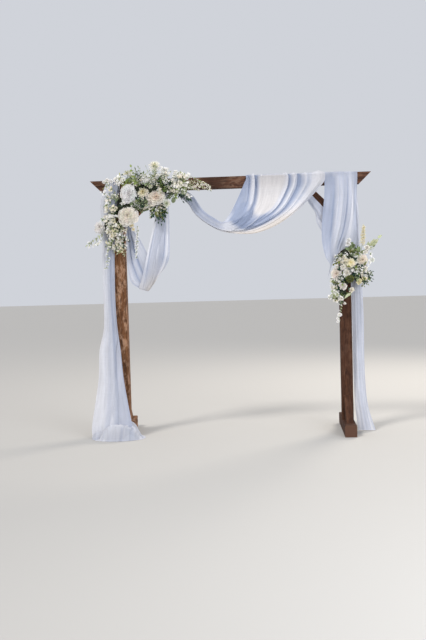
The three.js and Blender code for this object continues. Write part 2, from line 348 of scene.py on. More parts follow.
VALLEY_COLOUR = (0.31, 0.37, 0.52)
RIDGE_COLOUR = (0.715, 0.735, 0.80)
SUNLIT_COLOUR = (0.66, 0.62, 0.585)
THREADS = 210
HEM_WIDTH = 0.02


def weave_group():
    """Fine crossed threads, from the cloth's own flat coordinates in metres, with a stitched hem. Its colour
    carries painted light and shade: in the fold valleys and on the ridges, patches of painted sunlight, along
    the hem's fold and in the crinkles.
    """
    group, come, go = new_group(
        "sheer weave",
        {"Flat": "Vector", "Fold": "Float", "Warm": "Float", "Edge": "Float"},
        {"Colour": "Color", "Cover": "Float", "Roughness": "Float", "Height": "Float"},
    )
    flat = come["Flat"]
    thread = maths(group, "MAXIMUM", *(
        waves(group, flat, (THREADS, THREADS, 1), 1.0, 0.6, 1.0, bands_direction=way) for way in ("X", "Y")
    ))
    slub = speckled(group, flat, (22, 75, 1), 3.0, 0.5)
    cloud = speckled(group, flat, (3, 3, 1), 3.0, 0.5)
    crinkle = speckled(group, flat, (70, 4, 1), 3.0, 0.55)
    hem_share = maths(group, "DIVIDE", come["Edge"], HEM_WIDTH, clamp=True)

    # Painted shade in the fold valleys and painted light on the ridges, then patches of yellowish painted
    # sunlight
    colour = mixed(group, come["Fold"], VALLEY_COLOUR, RIDGE_COLOUR)
    colour = mixed(group, come["Warm"], colour, SUNLIT_COLOUR)
    colour = shaded(group, colour, cloud, (0.3, 0.93), (0.7, 1.03))
    colour = shaded(group, colour, slub, (0.3, 0.975), (0.7, 1.01))
    # Painted shade along the crinkles' hollows, besides their bump
    colour = shaded(group, colour, crinkle, (0.3, 0.90), (0.7, 1.04))
    # A thin line of painted shade along the hem's fold, about 8 mm in from the edge
    colour = shaded(group, colour, hem_share, (0.0, 1.0), (0.36, 1.0), (0.40, 0.93), (0.44, 1.0))
    cover = maths(group, "MULTIPLY_ADD", thread, 0.12, 0.82)
    cover = maths(group, "ADD", cover, maths(group, "MULTIPLY", slub, 0.04), clamp=True)
    hem = ramp(group, hem_share, (0.0, 0.25), (0.38, 0.25), (0.42, 0.0))
    relief = maths(group, "MULTIPLY_ADD", thread, 0.3, slub)
    put_out(
        group, go,
        Colour=colour,
        Cover=maths(group, "ADD", cover, hem, clamp=True),
        Roughness=maths(group, "MULTIPLY_ADD", slub, 0.2, 0.68),
        Height=maths(group, "ADD", relief, maths(group, "MULTIPLY", crinkle, 5.0)),
    )
    return group


def cloth_material(name):
    """Sheer cloth: it lets light through from behind, and shows a little of what is behind it."""
    made, tree, shader = new_material(name)
    flat = add_node(tree, "UVMap", {}, "UV", uv_map="flat")
    # The marks: painted light and shade from the folds, patches of painted sunlight, and how far each point
    # is from the hem
    marks = {label.capitalize(): attribute(tree, label) for label in ("fold", "warm", "edge")}
    finish = use_group(tree, weave_group(), Flat=flat, **marks)
    dress(tree, shader, finish, 0.0006, Specular_IOR_Level=0.2, Sheen_Weight=0.25, Sheen_Roughness=0.45)
    let_light_through(tree, shader, finish["Colour"], 0.3)
    return made


CHIFFON = cloth_material("sheer chiffon")


# Mesh building

def mesh_object(name, points, quads, material):
    """A smooth mesh of four-sided faces from arrays of points and corner numbers."""
    points = np.asarray(points, dtype=np.float32).reshape(-1, 3)
    quads = np.asarray(quads, dtype=np.int32).reshape(-1, 4)
    mesh = bpy.data.meshes.new(name)
    mesh.vertices.add(len(points))
    mesh.vertices.foreach_set("co", points.ravel())
    mesh.loops.add(quads.size)
    mesh.loops.foreach_set("vertex_index", quads.ravel())
    mesh.polygons.add(len(quads))
    mesh.polygons.foreach_set("loop_start", np.arange(0, quads.size, 4, dtype=np.int32))
    mesh.update(calc_edges=True)
    mesh.validate()
    mesh.polygons.foreach_set("use_smooth", np.ones(len(mesh.polygons), dtype=bool))
    mesh.materials.append(material)
    made = bpy.data.objects.new(name, mesh)
    scene.collection.objects.link(made)
    return made


def grid_quads(rows, columns, closed=False):
    """Corner numbers of a grid of points, which closes on itself sideways where it is a tube."""
    index = np.arange(rows * columns).reshape(rows, columns)
    beside = np.roll(index, -1, axis=1)
    if not closed:
        index, beside = index[:, :-1], beside[:, :-1]
    return np.stack([index[:-1], beside[:-1], beside[1:], index[1:]], axis=-1).reshape(-1, 4)


def mark_points(piece, kind="FLOAT", **values):
    """Gives the points of a piece named values, which its material reads."""
    field = {"FLOAT": "value", "FLOAT_VECTOR": "vector", "FLOAT_COLOR": "color"}[kind]
    for name, value in values.items():
        made = piece.data.attributes.new(name, kind, "POINT")
        made.data.foreach_set(field, np.asarray(value, dtype=np.float32).ravel())


def fit_in(piece, slot_name, *nodes):
    """The piece rides on the frame and stands for the given solids. Its slot name is not used."""
    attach(piece, "root")
    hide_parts(*nodes)
    return piece


def smooth_at(points, places):
    """A smooth line through evenly placed points, at places from 0 to 1 along it."""
    points = np.asarray(points, dtype=float)
    padded = np.concatenate([[2 * points[0] - points[1]], points, [2 * points[-1] - points[-2]]])
    along = np.clip(np.asarray(places, dtype=float), 0, 1) * (len(points) - 1)
    start = np.minimum(along.astype(int), len(points) - 2)
    t = (along - start).reshape((-1,) + (1,) * (points.ndim - 1))
    a, b, c, d = (padded[start + step] for step in range(4))
    return 0.5 * (2 * b + (c - a) * t + (2 * a - 5 * b + 4 * c - d) * t**2 + (3 * b - a - 3 * c + d) * t**3)


def wavering(values, seed, period):
    """Smooth noise from -1 to 1 at each value."""
    return np.array([noise.noise(Vector((float(v) / period, seed * 7.31, 1.7))) for v in values])


# Timber pieces

WORN_CORNER = 0.005
CORNER_POINTS = 4
CORNER_ANGLE = math.pi / 6
FACE_STEPS = 5
RING_SPACING = 0.025
END_RIMS = 5
SAW_HOLLOW = 0.0009
# How far either way the painted shadow of the flowers reaches along a timber
DAMP_REACH = 0.14
SHARP_EDGE = math.radians(38)
# Where along the beam the painted shadow of the left flowers is darkest
BEAM_DAMP_X = -0.15


def section_points(width):
    """A square sawn section with worn corners, as (across, through) round it."""
    side = width / 2 - WORN_CORNER
    outline = [(width / 2, -side + 2 * side * i / FACE_STEPS) for i in range(1, FACE_STEPS)]
    for i in range(CORNER_POINTS):
        inset = WORN_CORNER * (1 - math.cos(CORNER_ANGLE * i))
        outline.append((width / 2 - inset, side + WORN_CORNER * math.sin(CORNER_ANGLE * i)))
    turned = []
    for quarter in range(4):
        c, s = math.cos(quarter * math.pi / 2), math.sin(quarter * math.pi / 2)
        turned += [(x * c - y * s, x * s + y * c) for x, y in outline]
    return turned


def sawn_end(points, grain, first, count, base):
    """A flat end over the ring of points that starts at first: its points, their grain and its faces."""
    rim, rim_grain = points[first:first + count], grain[first:first + count]
    middle, core = sum(rim, Vector()) / count, sum(rim_grain, Vector()) / count
    shares = [1 - i / END_RIMS for i in range(END_RIMS)]
    end_points = [middle.lerp(point, share) for share in shares for point in rim]
    end_grain = [core.lerp(value, share) for share in shares for value in rim_grain]
    heart = base + (END_RIMS - 1) * count
    faces = (grid_quads(END_RIMS, count, closed=True) + base).tolist()
    faces += [(heart + i, heart + i + 1, heart + i + 2, heart) for i in range(1, count - 2, 2)]
    return end_points, end_grain, faces if first else [face[::-1] for face in faces]


def sawn_timber(name, slot_name, start, along, across, length, width, slopes=(0, 0), seed=0, dark_at=None):
    """A length of square sawn timber. Slopes are how far each end's cut leans for each metre across.

    dark_at: how far along it the painted shadow of the flowers falls, as a dark stretch.
    """
    start, along, across = Vector(start), Vector(along).normalized(), Vector(across).normalized()
    through = along.cross(across)
    section = section_points(width)
    rings = max(int(length / RING_SPACING), 8)
    picker = random.Random(seed)
    shift = Vector((picker.uniform(0, 40), picker.uniform(0, 9), picker.uniform(0, 9)))
    points, grain, damp = [], [], []
    for ring in range(rings + 1):
        share = ring / rings
        for w, d in section:
            s = slopes[0] * w * (1 - share) + (length + slopes[1] * w) * share
            hollow = SAW_HOLLOW * (1 + noise.noise(Vector((s * 4, w * 30, d * 30)) + shift))
            drawn_in = 1 - hollow / width * 2
            points.append(start + along * s + across * (w * drawn_in) + through * (d * drawn_in))
            grain.append(Vector((s, w, d)) + shift)
            # The painted shadow's strength at each ring
            damp.append(0.0 if dark_at is None else math.exp(-(((s - dark_at) / DAMP_REACH) ** 2)))
    count = len(section)
    sides = len(points)
    quads = grid_quads(rings + 1, count, closed=True).tolist()
    for first in (0, rings * count):
        end_points, end_grain, faces = sawn_end(points, grain, first, count, len(points))
        points += end_points
        grain += end_grain
        quads += faces
    ends = len(points) - sides
    piece = mesh_object(name + "_timber", points, quads, TIMBERS[slot_name])
    piece.data.set_sharp_from_angle(angle=SHARP_EDGE)
    mark_points(piece, "FLOAT_VECTOR", grain=grain)
    mark_points(piece, end_grain=[0.0] * sides + [1.0] * ends, damp=damp + [0.0] * ends)
    return fit_in(piece, slot_name, name)


def diagonal_brace(name, slot_name, corner, level, upright, reach, width, seed):
    """A 45 degree brace in the corner of a level and an upright timber, cut flush with both."""
    corner, level, upright = Vector(corner), Vector(level), Vector(upright)
    along, outwards = (upright - level).normalized(), (upright + level).normalized()
    middle = reach - width / math.sqrt(2)
    sawn_timber(name, slot_name, corner + level * middle, along, outwards, middle * math.sqrt(2), width,
                slopes=(-1, 1), seed=seed)


def build_side(side, sign, slot_name):
    """One post with its knee brace, foot bearer and foot braces."""
    x = sign * POST_X
    sawn_timber(f"{side}_post", slot_name, (x, 0, TIMBER), (0, 0, 1), (1, 0, 0), BEAM_BOTTOM - TIMBER,
                TIMBER, seed=5 + sign)
    sawn_timber(f"{side}_foot_bearer", slot_name, (x, -FOOT_LENGTH / 2, FACE), (0, 1, 0), (1, 0, 0),
                FOOT_LENGTH, TIMBER, seed=9 + sign)
    diagonal_brace(f"{side}_knee_brace", slot_name, (x - sign * FACE, 0, BEAM_BOTTOM), (-sign, 0, 0),
                   (0, 0, -1), KNEE_REACH, KNEE_WIDTH, seed=14 + sign)
    for end, towards in (("front", -1), ("back", 1)):
        diagonal_brace(f"{side}_foot_brace_{end}", slot_name, (x, towards * FACE, TIMBER),
                       (0, towards, 0), (0, 0, 1), FOOT_BRACE_REACH, FOOT_BRACE_WIDTH,
                       seed=20 + sign + 3 * towards)


def build_timber():
    start = FACE - HALF_BEAM
    # The beam carries the painted shadow of the left flowers, just left of its middle
    sawn_timber("top_beam", "weathered_beam_timber", (start, 0, ARCH_HEIGHT - FACE), (1, 0, 0), (0, 0, 1),
                BEAM_LENGTH - TIMBER, TIMBER, slopes=(-1, 1), seed=3, dark_at=BEAM_DAMP_X - start)
    build_side("left", -1, "pale_timber")
    build_side("right", 1, "dark_timber")


# Cloth pieces

# The timber that cloth rests on, as (lowest corner, highest corner)
TIMBER_BOXES = [
    ((-HALF_BEAM, -FACE, BEAM_BOTTOM), (HALF_BEAM, FACE, ARCH_HEIGHT)),
    ((-POST_X - FACE, -FACE, 0), (-POST_X + FACE, FACE, BEAM_BOTTOM)),
    ((POST_X - FACE, -FACE, 0), (POST_X + FACE, FACE, BEAM_BOTTOM)),
    ((-POST_X - FACE, -FOOT_LENGTH / 2, 0), (-POST_X + FACE, FOOT_LENGTH / 2, TIMBER)),
]
CLOTH_CLEARANCE = 0.0025
GROUND_CLEARANCE = 0.0015
LAYER_INSET = 0.22
TURN_SHARE = 0.2
STEP_ACROSS = 0.01
DEEPEST_FOLD = 0.014


def kept_clear(points):
    """Moves cloth points out of the timber, through the nearest face, and up from the ground."""
    flat = points.reshape(-1, 3)
    for low, high in TIMBER_BOXES:
        low, high = np.array(low) - CLOTH_CLEARANCE, np.array(high) + CLOTH_CLEARANCE
        inside = ((flat > low) & (flat < high)).all(axis=1)
        depths = np.stack([flat - low, high - flat], axis=-1)[inside].reshape(-1, 6)
        axis, side = np.divmod(depths.argmin(axis=1), 2)
        flat[np.nonzero(inside)[0], axis] = np.where(side == 0, low[axis], high[axis])
    flat[:, 2] = np.maximum(flat[:, 2], GROUND_CLEARANCE)
    return flat.reshape(points.shape)


def folded(layers, columns, widths, flat_width, picker):
    """Where each column of gathered cloth is, for each row: across the guides, and in which layer.

    The cloth runs back and forth in layers where it is drawn together, and opens out where there is room.
    """
    turns = [0.0]
    for layer in range(layers):
        last = layer == layers - 1
        inset = 0.0 if last else picker.uniform(0.0, LAYER_INSET)
        turns.append(1 - inset if layer % 2 == 0 else inset)
    turns = np.array(turns)
    s = np.linspace(0, 1, columns)
    along = s * layers
    layer = np.minimum(along.astype(int), layers - 1)
    share = along - layer
    gathered = turns[layer] + (turns[layer + 1] - turns[layer]) * (0.5 - 0.5 * np.cos(np.pi * share))
    step = np.clip((share - (1 - TURN_SHARE)) / TURN_SHARE, 0, 1)
    depth = layer + step * step * (3 - 2 * step)
    fullness = flat_width / widths
    travel = np.abs(np.diff(turns)).sum()
    opened = (travel - np.maximum(fullness, 2)) / (travel - 1 / layers)
    opened = np.where(fullness < 2, 1 - (fullness - 1) * (1 - opened), opened)
    opened = np.clip(opened, 0, 1)[:, None]
    across = gathered[None, :] * (1 - opened) + s[None, :] * opened
    return across, depth[None, :] * (1 - opened) ** 0.7


def swelling(gap):
    """1 on the top of a ridge, falling away at both sides of it."""
    return np.exp(-gap * gap * 1.4)


def loose_ridges(u, v, count, seed):
    """Ridges of uneven width and height running down the cloth: 0 in a valley and about 1 on a ridge."""
    picker = random.Random(seed)
    total = np.zeros(v.shape)
    for i in range(count):
        centre = (i + 0.5 + picker.uniform(-0.32, 0.32)) / count
        half = picker.uniform(0.42, 0.85) / count
        strength = picker.uniform(0.4, 1.0)
        drift = wavering(u, seed * 3 + i, 0.55) * 0.5 / count
        fade = strength * (0.7 + 0.45 * wavering(u, seed * 5 + i, 0.35))
        total += (np.maximum(fade, 0.05)[:, None] * swelling((v - centre - drift[:, None]) / half)) ** 3
    return total ** (1 / 3)


def set_folds(u, v, folds):
    """Single folds: each (v at its start, v at its end, half width in v, height, start u, end u)."""
    total = np.zeros(v.shape)
    for v_start, v_end, half, height, u_start, u_end in folds:
        share = np.clip((u - u_start) / (u_end - u_start), 0, 1)
        centre = v_start + (v_end - v_start) * share
        fade = np.sin(np.pi * share) ** 0.6
        total += height * fade[:, None] * swelling((v - centre[:, None]) / half)
    return total


def short_creases(count, half, seed):
    """Short narrow creases at random places, each as set_folds takes it."""
    picker = random.Random(seed)
    made = []
    for _ in range(count):
        v_start, u_start = picker.uniform(0.05, 0.95), picker.uniform(0.05, 0.7)
        height = picker.choice((-1, 1)) * picker.uniform(0.0012, 0.0026)
        length, drift = picker.uniform(0.15, 0.35), picker.uniform(-0.05, 0.05)
        width = half * picker.uniform(0.7, 1.4)
        made.append((v_start, v_start + drift, width, height, u_start, u_start + length))
    return made


def beyond(at, span):
    return np.maximum(np.maximum(span[0] - at, at - span[1]), 0)


def patch(u, v, u_span, v_span, amount, soft=0.05):
    """An amount within a span down the cloth and a span across it, and fading out softly round them."""
    outside = beyond(u, u_span) + beyond(v, v_span)
    return amount * np.exp(-((outside / soft) ** 2))


def rising(at, start, length):
    """From 0 to 1 over a length from its start."""
    return np.clip((at - start) / length, 0, 1)


def toned(even=0.0, across=0.0, patches=()):
    """Painted light and shade, or painted sunlight, on cloth at (u, v): an even amount, a change across it,
    and patches.
    """
    return lambda u, v: sum((patch(u, v, *one) for one in patches), even + across * v)


def surface_between(lines, v):
    """The smooth surface through guide lines at the places across it, and its directions out and over."""
    def at(values, places):
        return np.array([smooth_at(values[:, row], place) for row, place in enumerate(places)])

    over = at(lines, v + STEP_ACROSS) - at(lines, v - STEP_ACROSS)
    out = np.cross(at(np.gradient(lines, axis=1), v), over)
    out, over = (way / np.maximum(np.linalg.norm(way, axis=2, keepdims=True), 1e-9) for way in (out, over))
    return at(lines, v), -out if out[:, :, 1].mean() > 0 else out, over


def hung_cloth(name, size, nodes, guides, layers, ridges, fullness, seed, rows=200, columns=200, gap=0.004,
               lean=0.8, folds=(), tone=toned(), warm=toned(), creases=(0, 0.02)):
    """Cloth of a flat size over guide lines that run down it, with loose folds along them.

    guides: lines of (x, y, z), as many points in each, from one edge to the other.
    fullness: the depth of the loose folds for their spacing, at evenly spread places down the cloth.
    gap, lean: how far apart its layers lie, and how far its folds lean over.
    tone, sunlit: painted light and shade, and yellowish painted sunlight, at places given down it and across
    it.
    creases: how many short narrow creases it has, and their half width.
    """
    flat_width = size[0]
    u = np.linspace(0, 1, rows)
    lines = np.array([smooth_at(guide, u) for guide in guides])
    width = np.linalg.norm(np.diff(lines, axis=0), axis=2).sum(axis=0)
    v, layer = folded(layers, columns, width, flat_width, random.Random(seed))
    surface, out, over = surface_between(lines, v)
    depth = np.minimum(width / ridges * smooth_at(fullness, u), DEEPEST_FOLD)[:, None]
    height = loose_ridges(u, v, ridges, seed)
    crumple = loose_ridges(u, v, ridges * 4, seed + 50)
    single = set_folds(u, v, list(folds) + short_creases(*creases, seed + 90))
    lift = depth * (height + 0.16 * crumple - 0.45) + single
    points = kept_clear(surface + out * (lift - gap * layer)[..., None] + over * (lean * lift)[..., None])
    piece = mesh_object(name, points, grid_quads(rows, columns), CHIFFON)

    steps_down = np.linalg.norm(np.diff(points, axis=0), axis=2).mean(axis=1)
    length_at = np.concatenate([[0], np.cumsum(steps_down)])
    width_at = np.linspace(0, flat_width, columns)
    set_flat(piece, np.stack([np.tile(width_at, rows), np.repeat(length_at, columns)], axis=1))
    from_side = np.minimum(width_at, flat_width - width_at)
    from_end = np.minimum(length_at, length_at[-1] - length_at)
    # The fold mark is painted light and shade: painted shade in the valleys and sunk folds, painted light on
    # the ridges and raised folds, with the piece's own painted patches added
    fold = 0.42 + 0.42 * height + 0.12 * crumple + single / 0.013 + tone(u[:, None], v)
    mark_points(piece, edge=np.minimum(from_side[None, :], from_end[:, None]), fold=np.clip(fold, 0, 1),
                warm=warm(u[:, None], v))
    lay_sheet(piece, nodes)


def set_flat(piece, flat):
    """The cloth's own flat coordinates in metres, as its texture layer."""
    corners = np.empty(len(piece.data.loops), dtype=np.int32)
    piece.data.loops.foreach_get("vertex_index", corners)
    piece.data.uv_layers.new(name="flat").data.foreach_set("uv", flat[corners].astype(np.float32).ravel())


def lay_sheet(piece, nodes):
    fit_in(piece, "sheer_cloth", *nodes)


# The way over the beam from front to back, and then down behind it, as (y, z)
OVER_BEAM = [
    (-0.061, 2.165), (-0.060, 2.196), (-0.046, 2.2068), (0.0, 2.208), (0.046, 2.2068), (0.060, 2.194),
]
BEHIND_BEAM = [(0.062, 2.165), (0.063, 2.135)]
TAIL_BEHIND_BEAM = [(0.064, 2.180)]


def over_beam(x, behind=BEHIND_BEAM):
    return [(x, y, z) for y, z in OVER_BEAM + behind]


def curling(depths, x, z):
    """A guide line with its depths spread evenly along it."""
    return list(zip(x, smooth_at(depths, np.linspace(0, 1, len(x))), z))


def build_left_panel():
    """Gathered over the beam, hanging before the left post and spreading to the ground."""
    heights = [2.09, 1.98, 1.82, 1.60, 1.38, 1.17, 0.93, 0.74, 0.52, 0.30]

    def edge(beam_x, foot, x, y):
        return over_beam(beam_x)[::-1] + list(zip(x, y, heights + foot))

    guides = [
        edge(-1.062, [0.11, 0.012],
            [-1.088, -1.112, -1.098, -1.104, -1.108, -1.106, -1.112, -1.152, -1.158, -1.186, -1.212, -1.206],
            [-0.068, -0.072, -0.076, -0.080, -0.082, -0.084, -0.088, -0.107, -0.147, -0.190, -0.235, -0.262]),
        edge(-1.000, [0.12, 0.050],
            [-1.015, -1.035, -1.042, -1.050, -1.055, -1.055, -1.050, -1.052, -1.042, -1.037, -1.040, -1.042],
            [-0.072, -0.080, -0.084, -0.088, -0.090, -0.092, -0.098, -0.122, -0.167, -0.222, -0.272, -0.290]),
        edge(-0.938, [0.12, 0.030],
            [-0.945, -0.965, -0.985, -0.997, -1.002, -1.004, -0.992, -0.965, -0.940, -0.900, -0.862, -0.846],
            [-0.068, -0.072, -0.076, -0.080, -0.082, -0.084, -0.092, -0.117, -0.157, -0.202, -0.248, -0.262]),
    ]
    hung_cloth(
        "left_panel_cloth", (0.6, 2.4), ["left_panel"], guides, 5, 4,
        [0.10, 0.12, 0.15, 0.16, 0.15, 0.15, 0.17, 0.24, 0.26, 0.28], 11, rows=216, columns=228, gap=0.003,
        folds=[(0.62, 0.70, 0.10, -0.004, 0.30, 0.85), (0.20, 0.12, 0.12, 0.004, 0.35, 1.05)],
        # Painted light and shade: paler along the left side and darker towards the right
        tone=toned(0.16, -0.22, [((-1, 2), (-1, 0.15), 0.35, 0.02), ((-1, 2), (-1, 0.30), 0.25)]),
        creases=(10, 0.03),
    )


def build_loop_left_leg():
    """The loop's left leg, which slants behind the right one."""
    behind = [-0.068, -0.070, -0.074, -0.080, -0.078]
    guides = [
        curling(behind, [-0.845, -0.843, -0.822, -0.772, -0.722, -0.672],
                [2.11, 1.90, 1.755, 1.68, 1.575, 1.48]),
        curling(behind, [-0.862, -0.862, -0.845, -0.802, -0.750, -0.696],
                [2.11, 1.90, 1.72, 1.585, 1.46, 1.37]),
        curling(behind, [-0.880, -0.884, -0.869, -0.845, -0.797, -0.735],
                [2.11, 1.90, 1.68, 1.50, 1.36, 1.29]),
        curling(behind, [-0.900, -0.906, -0.896, -0.892, -0.866, -0.782],
                [2.11, 1.90, 1.66, 1.46, 1.322, 1.258]),
    ]
    hung_cloth(
        "loop_left_leg_cloth", (0.36, 0.81), ["loop_left_leg"], guides, 7, 4,
        [0.14, 0.16, 0.18, 0.2, 0.16, 0.08], 23, rows=130, columns=208, gap=0.002,
        folds=[(0.42, 0.50, 0.05, -0.006, 0.25, 0.95), (0.70, 0.72, 0.04, -0.005, 0.30, 0.95)],
        # An even painted shade over the whole leg
        tone=toned(-0.12), creases=(10, 0.03),
    )


def build_loop_right_leg():
    """The loop's right leg with its bowl, which closes the loop below."""
    # Painted sunlight growing down the leg towards its right side and over the bowl; painted shade on the
    # lower right part and at the bowl's end, over a slightly paler whole
    def warm(u, v):
        return 0.5 * rising(u, 0.45, 0.3) * rising(v, 0.25, 0.4) + 0.4 * rising(u, 0.66, 0.15)

    def tone(u, v):
        return 0.06 - patch(u, v, (0.5, 1), (0.6, 2), 0.25) - 0.35 * rising(u, 0.9, 0.05)

    front = [-0.072, -0.080, -0.098, -0.112, -0.112, -0.098, -0.078]
    guides = [
        curling(front, [-0.618, -0.640, -0.664, -0.700, -0.726, -0.758, -0.792, -0.784],
                [2.09, 1.88, 1.76, 1.62, 1.50, 1.37, 1.275, 1.262]),
        curling(front, [-0.590, -0.603, -0.622, -0.650, -0.676, -0.708, -0.740, -0.738],
                [2.09, 1.88, 1.74, 1.61, 1.49, 1.36, 1.252, 1.262]),
        curling(front, [-0.554, -0.559, -0.566, -0.580, -0.606, -0.650, -0.700, -0.704],
                [2.09, 1.88, 1.72, 1.585, 1.465, 1.345, 1.250, 1.262]),
        curling(front, [-0.521, -0.517, -0.516, -0.518, -0.546, -0.598, -0.636, -0.680],
                [2.09, 1.88, 1.70, 1.545, 1.462, 1.392, 1.335, 1.312]),
    ]
    hung_cloth(
        "loop_right_leg_cloth", (0.36, 0.88), ["loop_right_leg", "loop_bowl"], guides, 5, 4,
        [0.12, 0.15, 0.18, 0.18, 0.18, 0.15, 0.1], 29, rows=150, columns=204, gap=0.003,
        folds=[(0.03, 0.05, 0.06, 0.005, 0.10, 0.70), (0.17, 0.20, 0.05, -0.004, 0.20, 0.85),
               (0.73, 0.76, 0.025, -0.007, 0.05, 0.62), (0.88, 0.84, 0.05, 0.004, 0.05, 0.9)],
        warm=warm, tone=tone, creases=(8, 0.025),
    )


def build_swag():
    """The centre swag: gathered at the left spray, opening over the beam on the right."""
    def guide(beam_x, x, z):
        y = [-0.074 - 0.045 * math.sin(math.pi * i / (len(x) - 1)) for i in range(len(x))]
        return list(zip(x, y, z)) + over_beam(beam_x)

    # Painted sunlight on a stretch of the rolled lower edge, on a flat patch in the bowl, and along the whole
    # lower edge
    def warm(u, v):
        arm = 0.9 * np.clip(2.0 - abs(u - 0.35) / 0.07, 0, 1) * rising(v, 0.72, 0.10)
        return arm + patch(u, v, (0.45, 0.62), (0.27, 0.46), 0.5, 0.03) + 0.25 * rising(v, 0.85, 0.1)

    guides = [
        guide(0.147, [-0.39, -0.306, -0.224, -0.132, -0.062, -0.018, 0.022, 0.065, 0.100, 0.130],
              [2.10, 2.039, 1.918, 1.847, 1.811, 1.845, 1.901, 1.985, 2.060, 2.130]),
        guide(0.265, [-0.40, -0.318, -0.240, -0.139, -0.055, 0.020, 0.095, 0.180, 0.238, 0.262],
              [2.085, 2.022, 1.906, 1.828, 1.789, 1.790, 1.813, 1.862, 1.950, 2.080]),
        guide(0.487, [-0.41, -0.331, -0.258, -0.146, -0.048, 0.055, 0.150, 0.270, 0.385, 0.466],
              [2.07, 2.006, 1.896, 1.809, 1.766, 1.757, 1.780, 1.840, 1.935, 2.080]),
        guide(0.628, [-0.42, -0.344, -0.276, -0.153, -0.041, 0.090, 0.205, 0.350, 0.495, 0.606],
              [2.055, 1.990, 1.886, 1.791, 1.744, 1.729, 1.747, 1.810, 1.915, 2.080]),
        guide(0.815, [-0.43, -0.356, -0.290, -0.158, -0.034, 0.127, 0.256, 0.423, 0.605, 0.790],
              [2.04, 1.976, 1.880, 1.778, 1.724, 1.704, 1.716, 1.783, 1.915, 2.105]),
    ]
    # Painted shade and painted light in patches of (span down, span across, amount, softness), over a
    # slightly paler whole
    shadows_and_lights = [
        ((0.38, 0.66), (-1, 0.08), -0.5), ((0.315, 0.41), (0.10, 0.66), -0.85, 0.03),
        ((0.45, 0.66), (0.15, 0.205), -0.5, 0.02), ((0.255, 0.30), (0.15, 0.80), 0.5, 0.02),
        ((0.17, 0.26), (0.25, 2), 0.12), ((0.43, 0.56), (0.56, 0.80), -0.35),
        ((0.45, 0.62), (0.27, 0.46), 0.5, 0.03), ((0.41, 0.45), (0.33, 0.40), 0.3, 0.02),
        ((0.20, 0.42), (0.92, 2), -0.4), ((-1, 0.18), (-1, 2), -0.35),
    ]
    hung_cloth(
        "swag_cloth", (0.64, 1.45), ["swag_arm", "swag_bowl", "beam_wrap"], guides, 7, 5,
        [0.2, 0.2, 0.13, 0.07, 0.04, 0.025, 0.02, 0.02, 0.02, 0.02], 37, rows=208, columns=240, lean=1.0,
        folds=[
            (0.16, 0.03, 0.014, -0.009, 0.36, 0.70), (0.34, 0.16, 0.020, -0.007, 0.26, 0.42),
            (0.17, 0.11, 0.030, 0.012, 0.37, 0.82), (0.235, 0.165, 0.026, -0.014, 0.38, 0.82),
            (0.29, 0.245, 0.014, 0.005, 0.42, 0.82), (0.72, 0.36, 0.030, 0.008, 0.27, 0.44),
            (0.55, 0.45, 0.022, 0.009, 0.36, 0.86), (0.58, 0.525, 0.022, -0.010, 0.32, 0.86),
            (0.64, 0.585, 0.024, 0.008, 0.28, 0.88), (0.74, 0.67, 0.030, -0.013, 0.26, 0.88),
            (0.81, 0.765, 0.022, 0.007, 0.16, 0.86), (0.85, 0.84, 0.020, -0.002, 0.12, 0.86),
            (0.89, 0.92, 0.060, 0.014, 0.06, 0.95), (0.97, 0.97, 0.030, -0.004, 0.06, 0.60),
        ],
        warm=warm, tone=toned(0.08, patches=shadows_and_lights), creases=(16, 0.008),
    )


def build_right_tail():
    """The short front end of the right cloth, its folds drawn together to a thin hanging corner."""
    def edge(beam_x, x, y, z):
        return over_beam(beam_x, TAIL_BEHIND_BEAM)[::-1] + list(zip(x, y, z))

    guides = [
        edge(0.806, [0.810, 0.803, 0.788, 0.776, 0.778, 0.803, 0.838, 0.812],
             [-0.070, -0.072, -0.078, -0.084, -0.088, -0.090, -0.088, -0.084],
             [2.10, 1.98, 1.86, 1.73, 1.61, 1.49, 1.418, 1.297]),
        edge(0.905, [0.902, 0.897, 0.884, 0.866, 0.850, 0.842, 0.844, 0.856],
             [-0.072, -0.080, -0.088, -0.094, -0.098, -0.098, -0.094, -0.088],
             [2.10, 1.99, 1.88, 1.76, 1.65, 1.56, 1.49, 1.421]),
        edge(0.965, [0.963, 0.962, 0.952, 0.933, 0.912, 0.893, 0.882, 0.877],
             [-0.072, -0.080, -0.088, -0.094, -0.100, -0.100, -0.096, -0.090],
             [2.10, 1.99, 1.88, 1.76, 1.66, 1.59, 1.53, 1.462]),
        edge(1.025, [1.024, 1.024, 1.018, 1.007, 0.992, 0.974, 0.956, 0.938],
             [-0.072, -0.078, -0.084, -0.088, -0.090, -0.090, -0.090, -0.088],
             [2.10, 1.99, 1.88, 1.78, 1.70, 1.645, 1.60, 1.540]),
        edge(1.088, [1.086, 1.081, 1.077, 1.075, 1.074, 1.073, 1.073, 1.073],
             [-0.068, -0.070, -0.072, -0.074, -0.076, -0.078, -0.078, -0.078],
             [2.10, 1.99, 1.90, 1.82, 1.76, 1.70, 1.65, 1.598]),
    ]
    hung_cloth(
        "right_tail_cloth", (0.62, 0.86), ["right_tail"], guides, 5, 4,
        [0.06, 0.08, 0.12, 0.16, 0.2, 0.22, 0.2, 0.15], 53, rows=150, columns=226, gap=0.003,
        folds=[(0.20, 0.28, 0.04, -0.005, 0.42, 1.0), (0.66, 0.60, 0.025, -0.007, 0.42, 0.95),
               (0.44, 0.45, 0.08, 0.004, 0.40, 1.0), (0.82, 0.78, 0.05, 0.004, 0.40, 1.0),
               (0.31, 0.33, 0.03, 0.005, 0.40, 0.8)],
        # Painted shade: a little darker overall, and darker still along the left of the lower part
        tone=toned(-0.08, patches=[((0.45, 0.8), (-1, 0.14), -0.3, 0.08)]), creases=(14, 0.02),
    )


